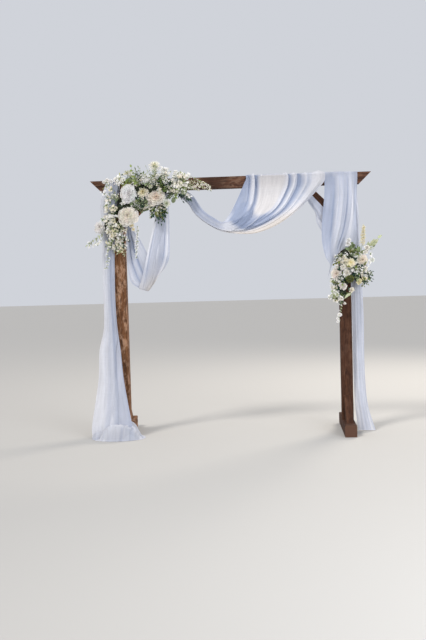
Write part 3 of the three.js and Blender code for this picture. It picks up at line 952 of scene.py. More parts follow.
def build_right_panel():
    """The long back end of the right cloth, beside the right post and down to the ground."""
    heights = [2.198, 2.12, 2.00, 1.88, 1.70, 1.45, 1.20, 0.95, 0.70, 0.45, 0.22]

    def edge(foot, x, y):
        return list(zip(x, y, heights + [foot]))

    guides = [
        edge(0.010, [0.884, 0.900, 0.950, 1.020, 1.023, 1.022, 1.021, 1.022, 1.023, 1.024, 1.030, 1.050],
             [0.060, 0.066, 0.070, 0.062, 0.042, 0.028, 0.024, 0.020, 0.012, -0.002, -0.030, -0.065]),
        edge(0.010, [0.985, 0.995, 1.020, 1.056, 1.062, 1.064, 1.066, 1.068, 1.070, 1.075, 1.088, 1.120],
             [0.062, 0.072, 0.076, 0.062, 0.038, 0.020, 0.014, 0.010, 0.000, -0.020, -0.060, -0.085]),
        edge(0.008, [1.086, 1.088, 1.092, 1.096, 1.102, 1.110, 1.120, 1.126, 1.124, 1.126, 1.144, 1.200],
             [0.060, 0.066, 0.068, 0.054, 0.038, 0.028, 0.022, 0.018, 0.008, -0.010, -0.044, -0.075]),
    ]
    hung_cloth(
        "right_panel_cloth", (0.42, 2.2), ["right_panel"], guides, 5, 4,
        # An even painted light over the whole panel
        [0.1, 0.16, 0.18, 0.2, 0.2, 0.2, 0.22, 0.26], 61, columns=190, gap=0.003, tone=toned(0.2),
        creases=(10, 0.03),
    )


def build_brace_wrap():
    """Cloth wound about the right knee brace, with its end hanging from it."""
    inner = [(0.668, -0.044, 2.052), (0.722, -0.046, 1.990), (0.786, -0.046, 1.920), (0.850, -0.046, 1.850),
             (0.900, -0.042, 1.770), (0.908, -0.032, 1.700)]
    middle = [(0.655, -0.042, 2.035), (0.700, -0.042, 1.955), (0.752, -0.042, 1.880), (0.795, -0.038, 1.800),
              (0.840, -0.032, 1.730), (0.872, -0.022, 1.672)]
    outer = [(0.640, -0.022, 2.030), (0.663, -0.020, 1.955), (0.716, -0.018, 1.872), (0.732, -0.014, 1.785),
             (0.779, -0.012, 1.702), (0.836, -0.008, 1.655)]
    hung_cloth(
        "brace_wrap_cloth", (0.26, 0.45), ["brace_wrap"], [inner, middle, outer], 3, 4,
        [0.12, 0.2, 0.25, 0.25], 71, rows=80, columns=140,
    )


# The left panel's end on the ground: its middle and reach, and the ridge heaped over the foot bearer
POOL_ROWS, POOL_COLUMNS = 110, 240
POOL_X, POOL_Y = -0.986, -0.232
POOL_REACH_X, POOL_REACH_Y = 0.236, 0.170
HEAP_X, HEAP_Y, HEAP_HALF, HEAP_TOP, HEAP_SPREAD = -1.03, -0.235, 0.12, 0.12, 0.13


def over_bearer(x, y):
    """How high cloth lies over the front end of the left foot bearer, sloping off its sides and its end."""
    beside = np.maximum(abs(x + POST_X) - FACE - 0.006, 0) / 0.11
    before = np.maximum(-FOOT_LENGTH / 2 - 0.005 - y, 0) / 0.022
    away = np.clip(1 - np.hypot(beside, before), 0, 1)
    return (TIMBER + 0.006) * away * (2 - away)


def creases_round(reach, angles, spacing, swirl):
    """Sharp ridges that run outwards from a middle and bend round it: 1 on a ridge, and less away from it."""
    def level(s, angle):
        bent = angle + swirl * s
        return noise.noise(Vector((math.cos(bent) * spacing, math.sin(bent) * spacing, s * 1.2)))

    return 1 - 2.2 * np.abs(np.array([[level(s, angle) for angle in angles] for s in reach]))


def build_pool():
    """The left panel's end, heaped over the front of the left foot bearer."""
    r = np.linspace(0.02, 1, POOL_ROWS)[:, None]
    angles = np.linspace(0, 2 * np.pi, POOL_COLUMNS, endpoint=False)
    ruffle = 0.7 * creases_round(r[:, 0], angles, 2.3, 1.8) + 0.4 * creases_round(r[:, 0], angles, 5.5, 1.2)
    spread = r * (0.94 + 0.06 * ruffle * r)
    x = POOL_X + POOL_REACH_X * spread * np.cos(angles)[None, :]
    y = POOL_Y + POOL_REACH_Y * spread * np.sin(angles)[None, :]
    beside = np.maximum(abs(x - HEAP_X) - HEAP_HALF, 0) / HEAP_SPREAD
    before = (y - HEAP_Y - 0.9 * (x - HEAP_X) ** 2) / HEAP_SPREAD
    near = np.clip(1 - np.hypot(beside, before), 0, 1)
    heap = HEAP_TOP * near**1.5 * (0.85 + 0.15 * ruffle)
    ruffle *= np.clip(r / 0.35, 0, 1)
    height = (np.maximum(heap, 0.001) ** 6 + np.maximum(over_bearer(x, y), 0.001) ** 6) ** (1 / 6)
    height += 0.034 * np.maximum(ruffle, 0) * np.sin(np.pi * r) ** 0.7 * (1 - near) ** 0.7
    height *= 1 - np.clip(1 - (1 - r) / 0.13, 0, 1) ** 2.5
    points = kept_clear(np.stack([x, y, height - 0.001], axis=-1))
    quads = grid_quads(POOL_ROWS, POOL_COLUMNS, closed=True)
    piece = mesh_object("left_panel_pool_cloth", points, quads, CHIFFON)
    # Painted shade between the ruffles and painted light on their ridges, and no painted sunlight
    mark_points(piece, fold=np.clip(0.45 + 0.5 * ruffle, 0, 1), warm=np.zeros(ruffle.shape),
                edge=np.repeat((1 - r[:, 0]) * 0.2, POOL_COLUMNS))
    set_flat(piece, points.reshape(-1, 3)[:, :2])
    lay_sheet(piece, ["left_panel_pool"])


def build_cloth():
    build_left_panel()
    build_pool()
    build_loop_left_leg()
    build_loop_right_leg()
    build_swag()
    build_right_tail()
    build_right_panel()
    build_brace_wrap()


# Plant finish

# The finish in each plant slot: its name, roughness, share of light from behind, and relief
PLANTS = {
    "white_petals": ("white petals", 0.6, 0.35, 0.0006),
    "cream_petals": ("cream petals", 0.6, 0.35, 0.0006),
    "blush_petals": ("blush petals", 0.6, 0.45, 0.0006),
    "grey_leaf": ("grey green leaves", 0.5, 0.2, 0.001),
    "foliage": ("mixed foliage", 0.5, 0.2, 0.001),
    "seed_head": ("dark seed scales", 0.7, 0.05, 0.001),
}


def plant_texture_group():
    """Fine veins and mottling over a petal or leaf, from its own coordinates."""
    group, come, go = new_group(
        "plant texture", {"Spot": "Vector", "Tint": "Color"}, {"Colour": "Color", "Height": "Float"},
    )
    veins = waves(group, come["Spot"], (3.2, 0.5, 1), 1.0, 1.2, 2.0, bands_direction="X")
    mottle = speckled(group, come["Spot"], (2.5, 2.5, 1), 3.0, 0.6)
    colour = shaded(group, come["Tint"], veins, (0.0, 0.95), (0.6, 1.02))
    colour = shaded(group, colour, mottle, (0.3, 0.92), (0.7, 1.05))
    put_out(group, go, Colour=colour, Height=maths(group, "ADD", veins, mottle))
    return group


def plant_material(group, name, roughness, through, relief):
    """Petals or leaves: tinted by their own colour, and lit through a little from behind."""
    made, tree, shader = new_material(name)
    spot, tint = attribute(tree, "spot", "Vector"), attribute(tree, "tint", "Color")
    finish = use_group(tree, group, Spot=spot, Tint=tint)
    dress(tree, shader, finish, relief, Roughness=roughness, Specular_IOR_Level=0.3)
    let_light_through(tree, shader, finish["Colour"], through)
    return made


def plant_materials():
    group = plant_texture_group()
    return {slot_name: plant_material(group, *plant) for slot_name, plant in PLANTS.items()}


PETALS_AND_LEAVES = plant_materials()


# Petals, leaves and stems

WHITE = (0.95, 0.945, 0.94)
IVORY = (0.94, 0.90, 0.84)
CREAM = (0.93, 0.86, 0.74)
WARM_CREAM = (0.93, 0.87, 0.64)
BLUSH = (0.93, 0.80, 0.69)
PINKISH_WHITE = (0.93, 0.88, 0.84)
BUTTER = (0.93, 0.84, 0.52)
GREEN = (0.13, 0.19, 0.05)
LIGHT_GREEN = (0.30, 0.38, 0.12)
YELLOW_GREEN = (0.46, 0.48, 0.15)
GREY_GREEN = (0.22, 0.28, 0.15)
PALE_GREY_GREEN = (0.49, 0.53, 0.34)
TEAL_GREEN = (0.030, 0.070, 0.045)
MOSS = (0.018, 0.026, 0.010)
STEM = (0.20, 0.24, 0.09)
DARK_SEED = (0.095, 0.105, 0.028)
DARK_OLIVE = (0.18, 0.20, 0.05)
PALEST = 0.96

GOLDEN_TURN = 2.39996
BLOSSOM_PETALS = 5
STEM_STEP = 0.02
STEM_TAPER = 0.5
SPRIG_STEM, SPRAY_STEM, STALK = 0.0016, 0.0014, 0.0006
SPRAY_PLACES = 8
OPEN_FLOWERS = 0.78
ROUND_LEAVED = 0.3
CLEAR_AHEAD = 0.045
MOSS_ROWS, MOSS_COLUMNS = 14, 22

# The way that the face of a leaf turns, where it is seen from the front
FACING = (0, -1, 0.3)
FACING_UP = (0, -1, 0.4)
FACING_LEVEL = (0, -1, 0.2)

# The big flowers and one gap, in front of which no leaf or spray stands: (x, z, radius)
KEPT_OPEN = [
    (-0.848, 2.072, 0.090), (-0.862, 1.889, 0.092), (-0.606, 2.040, 0.080), (-0.726, 2.085, 0.050),
    (-0.681, 2.199, 0.046), (-1.110, 1.800, 0.044), (-0.522, 1.978, 0.036), (1.108, 1.456, 0.056),
    (1.002, 1.438, 0.054), (0.878, 1.350, 0.052), (0.994, 1.300, 0.042), (1.068, 1.278, 0.036),
    (0.948, 1.243, 0.038), (1.006, 1.207, 0.032), (1.132, 1.387, 0.034), (0.941, 1.402, 0.034),
    (0.975, 1.354, 0.040), (0.990, 1.608, 0.032), (0.960, 1.545, 0.040), (-0.938, 1.985, 0.038),
]


def place(x, y, z):
    """A place given in millimetres."""
    return np.array((x, y, z)) / 1000


def swung(i, reach):
    """An uneven swing to both sides, for each number in turn."""
    return reach * math.sin(i * 2.4)


def hides_bloom(at, margin=1.0):
    return any(math.hypot(at[0] - x, at[2] - z) < radius * margin for x, z, radius in KEPT_OPEN)


def unit(vector):
    vector = np.asarray(vector, dtype=float)
    return vector / max(np.linalg.norm(vector), 1e-9)


def frame_along(axis, twist=0.0):
    """Rows are two directions across an axis, and the axis itself."""
    axis = unit(axis)
    helper = np.array((0, 0, 1.0)) if abs(axis[2]) < 0.9 else np.array((1.0, 0, 0))
    across = unit(np.cross(helper, axis))
    turned = across * math.cos(twist) + np.cross(axis, across) * math.sin(twist)
    return np.array([turned, np.cross(axis, turned), axis])


def varied(colour, picker, amount=0.08):
    shade = 1 + picker.uniform(-amount, amount)
    return tuple(min(c * shade * (1 + picker.uniform(-0.03, 0.03)), PALEST) for c in colour)


def blend_colours(first, second, share):
    return tuple(a + (b - a) * share for a, b in zip(first, second))


def along_pair(pair, share):
    return pair[0] + (pair[1] - pair[0]) * share


def petal_shape(length, width, cup, curl, ruffle, point, grid, picker):
    """A petal standing up from its foot, as points of (outwards, across, along) and petal coordinates."""
    t = np.linspace(0, 1, grid)[:, None]
    a = np.linspace(-1, 1, grid)[None, :]
    half = width / 2 * (0.16 + 0.84 * np.sin(np.pi / 2 * t**0.75)) * (1 - point * t**3 * 0.85)
    phase, ripples = picker.uniform(0, 6), picker.uniform(5, 8)
    wave = ruffle * width * t**2 * (0.35 + 0.65 * np.abs(a)) * np.sin(ripples * a + phase)
    wave += ruffle * 0.5 * width * t**3 * np.sin(ripples * 2.3 * a + phase * 1.7)
    outwards = curl * length * t**2 - cup * width * a**2 * np.sin(np.pi * (0.15 + 0.75 * t)) + wave
    along = length * t * (1 - 0.16 * a**2 * t) * (1 - 0.10 * curl)
    points = np.stack([outwards, half * a + 0 * t, along + 0 * a], axis=-1)
    spots = np.stack([a + 0 * t, t + 0 * a, np.full((grid, grid), picker.uniform(0, 30))], axis=-1)
    return points.reshape(-1, 3), spots.reshape(-1, 3)


def set_petal(points, azimuth, lean, outwards, raised):
    """Stands a petal round a flower's axis: lean is 0 upright, and more is opened outwards."""
    c, s = math.cos(lean), math.sin(lean)
    x = points[:, 0] * c + points[:, 2] * s + outwards
    z = -points[:, 0] * s + points[:, 2] * c + raised
    y = points[:, 1]
    c, s = math.cos(azimuth), math.sin(azimuth)
    return np.stack([x * c - y * s, x * s + y * c, z], axis=-1)


def ball_shape():
    """A small ball of six faces and radius 1."""
    corners = np.array([(x, y, z) for x in (-1, 1) for y in (-1, 1) for z in (-1, 1)], dtype=float)
    quads = [(0, 1, 3, 2), (4, 6, 7, 5), (0, 4, 5, 1), (2, 3, 7, 6), (0, 2, 6, 4), (1, 5, 7, 3)]
    return corners / math.sqrt(3), np.array(quads)


def blossom_shape():
    """A tiny open flower of radius 1, facing +z, with cupped petals."""
    points, quads = [], []
    for i in range(BLOSSOM_PETALS):
        middle = 2 * math.pi * i / BLOSSOM_PETALS
        base = len(points)
        for reach, spread, height in ((0.10, 0.12, 0.05), (0.55, 0.40, 0.15), (0.98, 0.24, 0.30)):
            for angle in (middle - spread, middle + spread):
                points.append((reach * math.cos(angle), reach * math.sin(angle), height))
        quads += [(base, base + 1, base + 3, base + 2), (base + 2, base + 3, base + 5, base + 4)]
    return np.array(points), np.array(quads)


BALL_POINTS, BALL_QUADS = ball_shape()
BLOSSOM_POINTS, BLOSSOM_QUADS = blossom_shape()


class Bunch:
    """Petals, leaves and stems gathered into one mesh, each point with its own tint.

    A tint is one colour, or several of which one is picked.
    """

    def __init__(self, seed):
        self.picker = random.Random(seed)
        self.parts = []
        self.count = 0

    def add(self, points, quads, tint, spots=None):
        points = np.asarray(points, dtype=float).reshape(-1, 3)
        spots = np.zeros(points.shape) if spots is None else spots.reshape(-1, 3)
        self.parts.append((points, quads + self.count, np.broadcast_to(tint, points.shape), spots))
        self.count += len(points)

    def finish(self, name, slot_name, node):
        points, quads, tints, spots = (np.concatenate(part) for part in zip(*self.parts))
        piece = mesh_object(name, points, quads, PETALS_AND_LEAVES[slot_name])
        mark_points(piece, "FLOAT_COLOR", tint=np.pad(tints, ((0, 0), (0, 1)), constant_values=1))
        mark_points(piece, "FLOAT_VECTOR", spot=spots)
        fit_in(piece, slot_name, node)

    def one_of(self, tint):
        return self.picker.choice(tint) if isinstance(tint[0], tuple) else tint

    def scattered(self, direction, spread):
        """A direction near another one, off it by up to about the spread in radians."""
        turn = frame_along(direction, self.picker.uniform(0, 6))
        off = math.tan(min(spread * math.sqrt(self.picker.random()), 1.4))
        return unit(turn[2] + turn[0] * off)

    def random_place(self, x_span, y, z_span):
        """A random place in an upright rectangle, given in millimetres."""
        return place(self.picker.uniform(*x_span), y, self.picker.uniform(*z_span))

    def random_over(self, centre, radii, front=0.55):
        """A random place on a mound and the way out of it, more often in front and off the big flowers."""
        picker = self.picker
        while True:
            way = unit([picker.gauss(0, 1), picker.gauss(-front, 0.8), picker.gauss(0, 1)])
            root = centre + way * radii * picker.uniform(0.45, 0.8)
            if way[1] < 0.35 and not hides_bloom(root) and not hides_bloom(root + way * CLEAR_AHEAD):
                return root, unit(way / radii)

    def bloom(self, centre, facing, radius, petals, inner, outer, lean=(0.05, 1.45), size=(0.55, 1.0),
              width=(0.7, 1.05), cup=0.22, curl=0.15, ruffle=0.05, depth=0.55, point=0.0, grid=7,
              squash=(1, 1), deep=0.80):
        """A many-petalled flower, seen into along its facing direction, with painted shade at the foot of
        each petal.

        lean, size, width: of the innermost petal and of the outermost.
        """
        pick = self.picker.uniform
        turn = frame_along(facing)
        start = pick(0, 6)
        base = centre - turn[2] * radius * depth
        for i in range(petals):
            share = (i + 0.5) / petals
            opened = along_pair(lean, share**0.85) + pick(-0.12, 0.12)
            length = radius * along_pair(size, share) * pick(0.9, 1.08)
            wide = length * along_pair(width, share) * pick(0.85, 1.1)
            cupped, curled = cup * pick(0.7, 1.2), curl * pick(0.4, 1.5)
            shape, spots = petal_shape(length, wide, cupped, curled, ruffle, point, grid, self.picker)
            outwards, raised = radius * 0.16 * share, radius * depth * 0.35 * (1 - share)
            placed = set_petal(shape, start + i * GOLDEN_TURN, opened, outwards, raised) * (*squash, 1)
            colour = np.array(varied(blend_colours(inner, outer, share), self.picker))
            # Painted shade: each petal darker at its foot, in among the others, and full colour at its tip
            tint = np.minimum(colour * (deep + (1.04 - deep) * spots[:, 1:2]), PALEST)
            self.add(placed @ turn + base, grid_quads(grid, grid), tint, spots)

    def small_blooms(self, spots, y, facing, petals, inner, outer, **shape):
        """Small flowers at (x, z) with their radius, in millimetres."""
        for x, z, radius in spots:
            self.bloom(place(x, y, z), facing, radius / 1000, petals, inner, outer, grid=5, **shape)

    def bud(self, centre, radius, tint, axis=(0, 0, 1), longer=1.0):
        shape = BALL_POINTS * (radius, radius, radius * longer)
        self.add(shape @ frame_along(axis) + centre, BALL_QUADS, varied(self.one_of(tint), self.picker))

    def blossom(self, centre, facing, radius, tint):
        turn = frame_along(facing, self.picker.uniform(0, 6))
        shape = BLOSSOM_POINTS * (radius, radius, radius * self.picker.uniform(0.8, 2.0))
        self.add(shape @ turn + centre, BLOSSOM_QUADS, varied(tint, self.picker))
        self.bud(centre + turn[2] * radius * 0.14, radius * 0.2, BUTTER)

    def stem(self, path, radius, tint=STEM, count=None):
        """A thin round stem along a path, and the places along it."""
        path = np.asarray(path, dtype=float)
        length = np.linalg.norm(np.diff(path, axis=0), axis=1).sum()
        line = smooth_at(path, np.linspace(0, 1, count or max(int(length / STEM_STEP), 4)))
        sides = 5 if radius > 0.001 else 3
        angles = np.linspace(0, 2 * np.pi, sides, endpoint=False)[:, None]
        rings = []
        for i, (at, direction) in enumerate(zip(line, np.gradient(line, axis=0))):
            turn = frame_along(direction)
            size = radius * (1 - STEM_TAPER * i / (len(line) - 1))
            rings.append(at + size * (np.cos(angles) * turn[0] + np.sin(angles) * turn[1]))
        self.add(rings, grid_quads(len(line), sides, closed=True), varied(tint, self.picker))
        return line

    def leaf(self, root, direction, length, width, tint, up=FACING, droop=0.2, fold=0.25, rounded=False,
             rows=6):
        """A leaf from its root: pointed, or round as eucalyptus is, folded a little along its middle."""
        pick = self.picker.uniform
        along = unit(direction)
        face = unit(up - along * np.dot(up, along) + 1e-6)
        across = np.cross(along, face)
        t = np.linspace(0, 1, rows)[:, None]
        a = np.linspace(-1, 1, 3)[None, :]
        if rounded:
            half = width / 2 * np.sqrt(np.maximum(1 - (2 * t - 1) ** 2, 0.004))
        else:
            half = width / 2 * np.maximum(np.sin(np.pi * t**0.8), 0.04) ** 0.9
        sway = pick(-0.12, 0.12) * length
        wave = 0.05 * width * np.sin(9 * t + pick(0, 6)) * np.abs(a)
        lift = fold * half * np.abs(a) - droop * length * t**2 + wave
        aside = half * a + sway * t * t
        points = root + along * (length * t)[..., None] + across * aside[..., None] + face * lift[..., None]
        spots = np.stack([a + 0 * t, t + 0 * a, np.full((rows, 3), 100 + pick(0, 30))], axis=-1)
        self.add(points, grid_quads(rows, 3), varied(tint, self.picker, 0.18), spots)

    def strewn_leaf(self, at, towards, spread, length, width, tint, up=FACING, rows=6):
        """A leaf that points somewhere near a direction."""
        tint = self.one_of(tint)
        self.leaf(at, self.scattered(towards, spread), length, width, tint, up, rows=rows)

    def strewn_leaves(self, count, x_span, y, z_span, margin, towards, spread, length, width, tint,
                      up=FACING):
        """Leaves at random places in an upright rectangle, off the big flowers."""
        for _ in range(count):
            at = self.random_place(x_span, y, z_span)
            if not hides_bloom(at, margin):
                self.strewn_leaf(at, towards, spread, length, width, tint, up)

    def sprig(self, root, tip, length, width, pairs, tint, rounded=False, tilt=0.9):
        """A stem with pairs of leaves along it and one at its tip."""
        pick = self.picker.uniform
        tint = self.one_of(tint)
        middle = (root + tip) / 2 + (pick(-0.01, 0.01), pick(-0.01, 0.01), 0)
        stem_tint = varied(blend_colours(STEM, tint, 0.5), self.picker)
        line = self.stem([root, middle, tip], SPRIG_STEM, stem_tint, count=2 * pairs + 4)
        along = unit(tip - root)
        twist = pick(0, 3)
        for i in range(pairs):
            share = 0.22 + 0.74 * (i + pick(-0.2, 0.2)) / pairs
            at = line[min(int(share * (len(line) - 1)), len(line) - 1)]
            size = (1.05 - 0.45 * share) * pick(0.8, 1.15)
            for side in (0, math.pi):
                turn = frame_along(along, twist + i * 1.2 + side)
                direction = along * math.cos(tilt) + turn[0] * math.sin(tilt)
                face = unit((0, -0.7, 0.7) + 0.6 * turn[1] + [pick(-0.4, 0.4) for _ in range(3)])
                self.leaf(at, direction, length * size, width * size, tint, face, pick(0.0, 0.3),
                          rounded=rounded)
        self.leaf(line[-1], along, length * 0.7, width * 0.7, tint, rounded=rounded)

    def spray(self, root, tip, spread, count, size, tint, stem_tint=STEM, leaves=0.3, leaf_tint=LIGHT_GREEN):
        """A stem that branches into thin stalks, each with a tiny flower or a bud."""
        pick, chance = self.picker.uniform, self.picker.random
        tint = self.one_of(tint)
        line = self.stem([root, (root + tip) / 2 + 0.004, tip], SPRAY_STEM, stem_tint, count=SPRAY_PLACES)
        along = unit(tip - root)
        last = SPRAY_PLACES - 1
        for _ in range(count):
            at = line[min(int((0.35 + 0.65 * math.sqrt(chance())) * last), last)]
            direction = self.scattered(along * 0.6 + (0, -0.5, 0.15), 1.15)
            end = at + direction * spread * pick(0.45, 1.0)
            self.stem([at, (at + end) / 2 + (0, 0, -0.002), end], STALK, stem_tint, count=3)
            facing = unit(direction + (0, -0.9, 0.25))
            if chance() < OPEN_FLOWERS:
                self.blossom(end, facing, size * pick(0.75, 1.2), tint)
            else:
                self.bud(end, size * 0.36, blend_colours(tint, LIGHT_GREEN, 0.35), direction, 1.3)
            if chance() < leaves:
                self.strewn_leaf(at, direction, 0.6, size * 2.6, size, leaf_tint, FACING_UP, rows=5)

    def moss(self, centre, radii, shrink=0.72):
        """A rough dark lump, which holds the stems behind the flowers."""
        radii = np.array(radii) * shrink
        points = []
        for row in range(MOSS_ROWS):
            polar = math.pi * (row + 0.02) / (MOSS_ROWS - 0.96)
            for column in range(MOSS_COLUMNS):
                angle = 2 * math.pi * column / MOSS_COLUMNS
                flat = math.sin(polar)
                way = Vector((flat * math.cos(angle), flat * math.sin(angle), math.cos(polar)))
                rough = 1 + 0.22 * noise.noise(way * 3.1 + Vector(centre * 9))
                points.append(centre + np.array(way) * radii * rough)
        self.add(points, grid_quads(MOSS_ROWS, MOSS_COLUMNS, closed=True), MOSS)

    def greenery(self, mounds, sprigs, sprays, tints):
        """Moss, leafy sprigs and tiny flowers over mounds of (centre, radii)."""
        picker = self.picker
        mounds = [(place(*centre), radii) for centre, radii in mounds]
        sizes = [radii[0] * radii[2] for _, radii in mounds]
        for centre, radii in mounds:
            self.moss(centre, radii)
        for _ in range(sprigs):
            centre, radii = picker.choices(mounds, sizes)[0]
            root, way = self.random_over(centre, radii)
            limit = centre + unit(root - centre) * radii
            reach = max(np.linalg.norm(limit - root), 0.02) * picker.uniform(0.9, 1.5)
            tint = picker.choice(tints)
            tip = root + unit(way + (picker.uniform(-0.5, 0.5), 0, picker.uniform(-0.6, 0.4))) * reach
            rounded = picker.random() < ROUND_LEAVED
            length = picker.uniform(0.022, 0.038)
            width = length * (0.75 if rounded else picker.uniform(0.3, 0.45))
            self.sprig(root, tip, length, width, picker.choice((3, 4, 5)), tint, rounded)
        for _ in range(sprays):
            centre, radii = picker.choices(mounds, sizes)[0]
            root, way = self.random_over(centre, radii, front=0.9)
            tip = root + way * picker.uniform(0.02, 0.045)
            self.spray(root, tip, picker.uniform(0.02, 0.035), picker.choice((6, 8, 10)),
                       picker.uniform(0.006, 0.0095), (WHITE, WHITE, CREAM))


# Left spray

# Mounds of foliage, as (centre in millimetres, radii)
LEFT_MOUNDS = [
    ((-700, -128, 2110), (0.240, 0.072, 0.105)),
    ((-870, -128, 1950), (0.115, 0.070, 0.190)),
    ((-470, -120, 2115), (0.150, 0.062, 0.080)),
    ((-620, -120, 1990), (0.130, 0.060, 0.085)),
    ((-1000, -122, 1800), (0.105, 0.060, 0.085)),
]
LEFT_GREENS = (GREEN, LIGHT_GREEN, GREY_GREEN, GREY_GREEN, PALE_GREY_GREEN, PALE_GREY_GREEN, TEAL_GREEN)
LEFT_YELLOW_BLOOMS = [
    (-1021, 1757, 24), (-1002, 1722, 20), (-828, 1804, 20), (-815, 1771, 16), (-1040, 1958, 17),
]
LEFT_WHITE_BLOOMS = [
    (-692, 2206, 21), (-664, 2192, 17), (-708, 2180, 16), (-1022, 2190, 18), (-990, 2180, 16),
    (-1052, 2176, 14), (-1014, 1822, 16), (-985, 1885, 15),
]


def add_beam_greens(bunch):
    """Dark sprigs before the beam, and three round eucalyptus leaves under its right part."""
    for x, z in ((-590, 2150), (-560, 2165), (-575, 2130), (-545, 2145), (-600, 2170)):
        bunch.sprig(place(x, -160, z - 20), place(x + 20, -195, z + 12), 0.034, 0.014, 3, TEAL_GREEN)
    for root, towards, length, width, tint, up in (
        ((-430, -172, 2062), (0.1, -0.1, 1), 0.068, 0.048, GREY_GREEN, (0.1, -1, 0.1)),
        ((-392, -170, 2050), (0.5, -0.1, 0.6), 0.060, 0.042, PALE_GREY_GREEN, (0.3, -1, 0.1)),
        ((-455, -170, 2030), (-0.3, -0.1, -0.8), 0.055, 0.040, GREY_GREEN, (-0.2, -1, 0.2)),
    ):
        bunch.leaf(place(*root), towards, length, width, tint, up, 0.05, 0.1, rounded=True, rows=7)


def add_beam_flowers(bunch):
    """Clouds of tiny flowers over both ends of the spray, and along its lower right edge."""
    for _ in range(40):
        at = bunch.random_place((-610, -330), -188, (2075, 2225))
        bunch.spray(at + (0, 0.035, -0.015), at, 0.026, 9, 0.0095, (WHITE, IVORY, CREAM))
    for _ in range(14):
        at = bunch.random_place((-955, -885), -170, (2150, 2215))
        bunch.spray(at + (0.01, 0.03, -0.03), at, 0.024, 8, 0.009, (WHITE, IVORY), leaf_tint=YELLOW_GREEN)
    for i in range(12):
        at = place(-420 + 8 * i, -160, 2088 - 7 * i + bunch.picker.uniform(-14, 10))
        bunch.spray(at + (0, 0.03, 0.03), at, 0.020, 8, 0.0085, (WHITE, IVORY), leaf_tint=GREY_GREEN)
        bunch.strewn_leaf(at, (0, -0.5, -0.6), 1.2, 0.036, 0.014, TEAL_GREEN)


def add_dark_leaves(bunch):
    """Dark leaves between the big flowers and under the blush rose."""
    bunch.strewn_leaves(22, (-800, -690), -172, (1965, 2045), 0.9, (0, -0.6, 0.2), 1.3, 0.040, 0.017,
                        TEAL_GREEN, FACING_UP)
    for x, z in ((-600, 1830), (-575, 1812), (-548, 1838), (-622, 1850), (-560, 1860)):
        bunch.sprig(place(x + 12, -128, z + 90), place(x, -150, z), 0.032, 0.016, 4,
                    (GREEN, TEAL_GREEN, TEAL_GREEN))
    bunch.strewn_leaves(36, (-650, -545), -164, (1866, 1985), 0.85, (0, -0.5, -0.5), 1.2, 0.040, 0.018,
                        (TEAL_GREEN, DARK_OLIVE, MOSS))


def add_left_fall(bunch):
    """Tiny flowers and sprigs that trail down before the left panel, to a dark tip."""
    pick = bunch.picker.uniform
    for i in range(36):
        share = (i / 35) ** 0.7
        x = -1030 + swung(i, 48) + 50 * share + pick(-14, 14)
        z = 2150 - 560 * share + pick(-14, 14)
        if hides_bloom(place(x, 0, z), 1.2):
            continue
        nearer = 45 * min(max((z - 1640) / 100, 0), 1)
        root, tip = place(x + 30, -105 - nearer, z), place(x, -134 - nearer, z + 6)
        bunch.spray(root, tip, 0.030, 10, 0.0098, (WHITE, IVORY, CREAM, WARM_CREAM))
        bunch.sprig(root, place(x + pick(-30, 40), -130, z - 30), 0.026, 0.011, 3,
                    (GREY_GREEN, PALE_GREY_GREEN, LIGHT_GREEN, LIGHT_GREEN))
    for i in range(9):
        at = place(-962 + 9 * i + pick(-8, 8), -138, 1665 + swung(i, 50))
        bunch.spray(at + (-0.01, 0.03, 0.03), at, 0.022, 7, 0.0095, (WHITE, IVORY))
        for _ in range(3):
            bunch.strewn_leaf(at + (0, 0.012, 0.01), (0, -0.5, -0.5), 1.3, 0.040, 0.016, TEAL_GREEN)


def build_left_greenery():
    bunch = Bunch(101)
    bunch.greenery(LEFT_MOUNDS, 160, 120, LEFT_GREENS)
    add_beam_greens(bunch)
    add_beam_flowers(bunch)
    add_dark_leaves(bunch)
    add_left_fall(bunch)
    bunch.small_blooms(LEFT_YELLOW_BLOOMS, -176, FACING_LEVEL, 22, BUTTER, CREAM, ruffle=0.08)
    bunch.small_blooms(LEFT_WHITE_BLOOMS, -186, FACING_LEVEL, 24, IVORY, WHITE, ruffle=0.16)
    for i in range(16):
        at = place(-905 + 8 * i, -150, 2158 + swung(i, 16))
        bunch.strewn_leaf(at, (0, -0.3, 0.8), 1.0, 0.046, 0.019, (YELLOW_GREEN, LIGHT_GREEN, GREY_GREEN))
    for i in range(12):
        share = i / 11
        root = place(-790 - 20 * share, -116, 1800 - 250 * share)
        bunch.spray(root, root + (0.006, -0.012, -0.02), 0.020, 6, 0.0065, WHITE)
    bunch.finish("left_greenery_bunch", "foliage", "left_greenery")


def big_bloom(name, slot_name, seed, centre, *petals, **shape):
    """One big flower head, over its own solid."""
    bunch = Bunch(seed)
    bunch.bloom(place(*centre), *petals, **shape)
    bunch.finish(name + "_petals", slot_name, name)


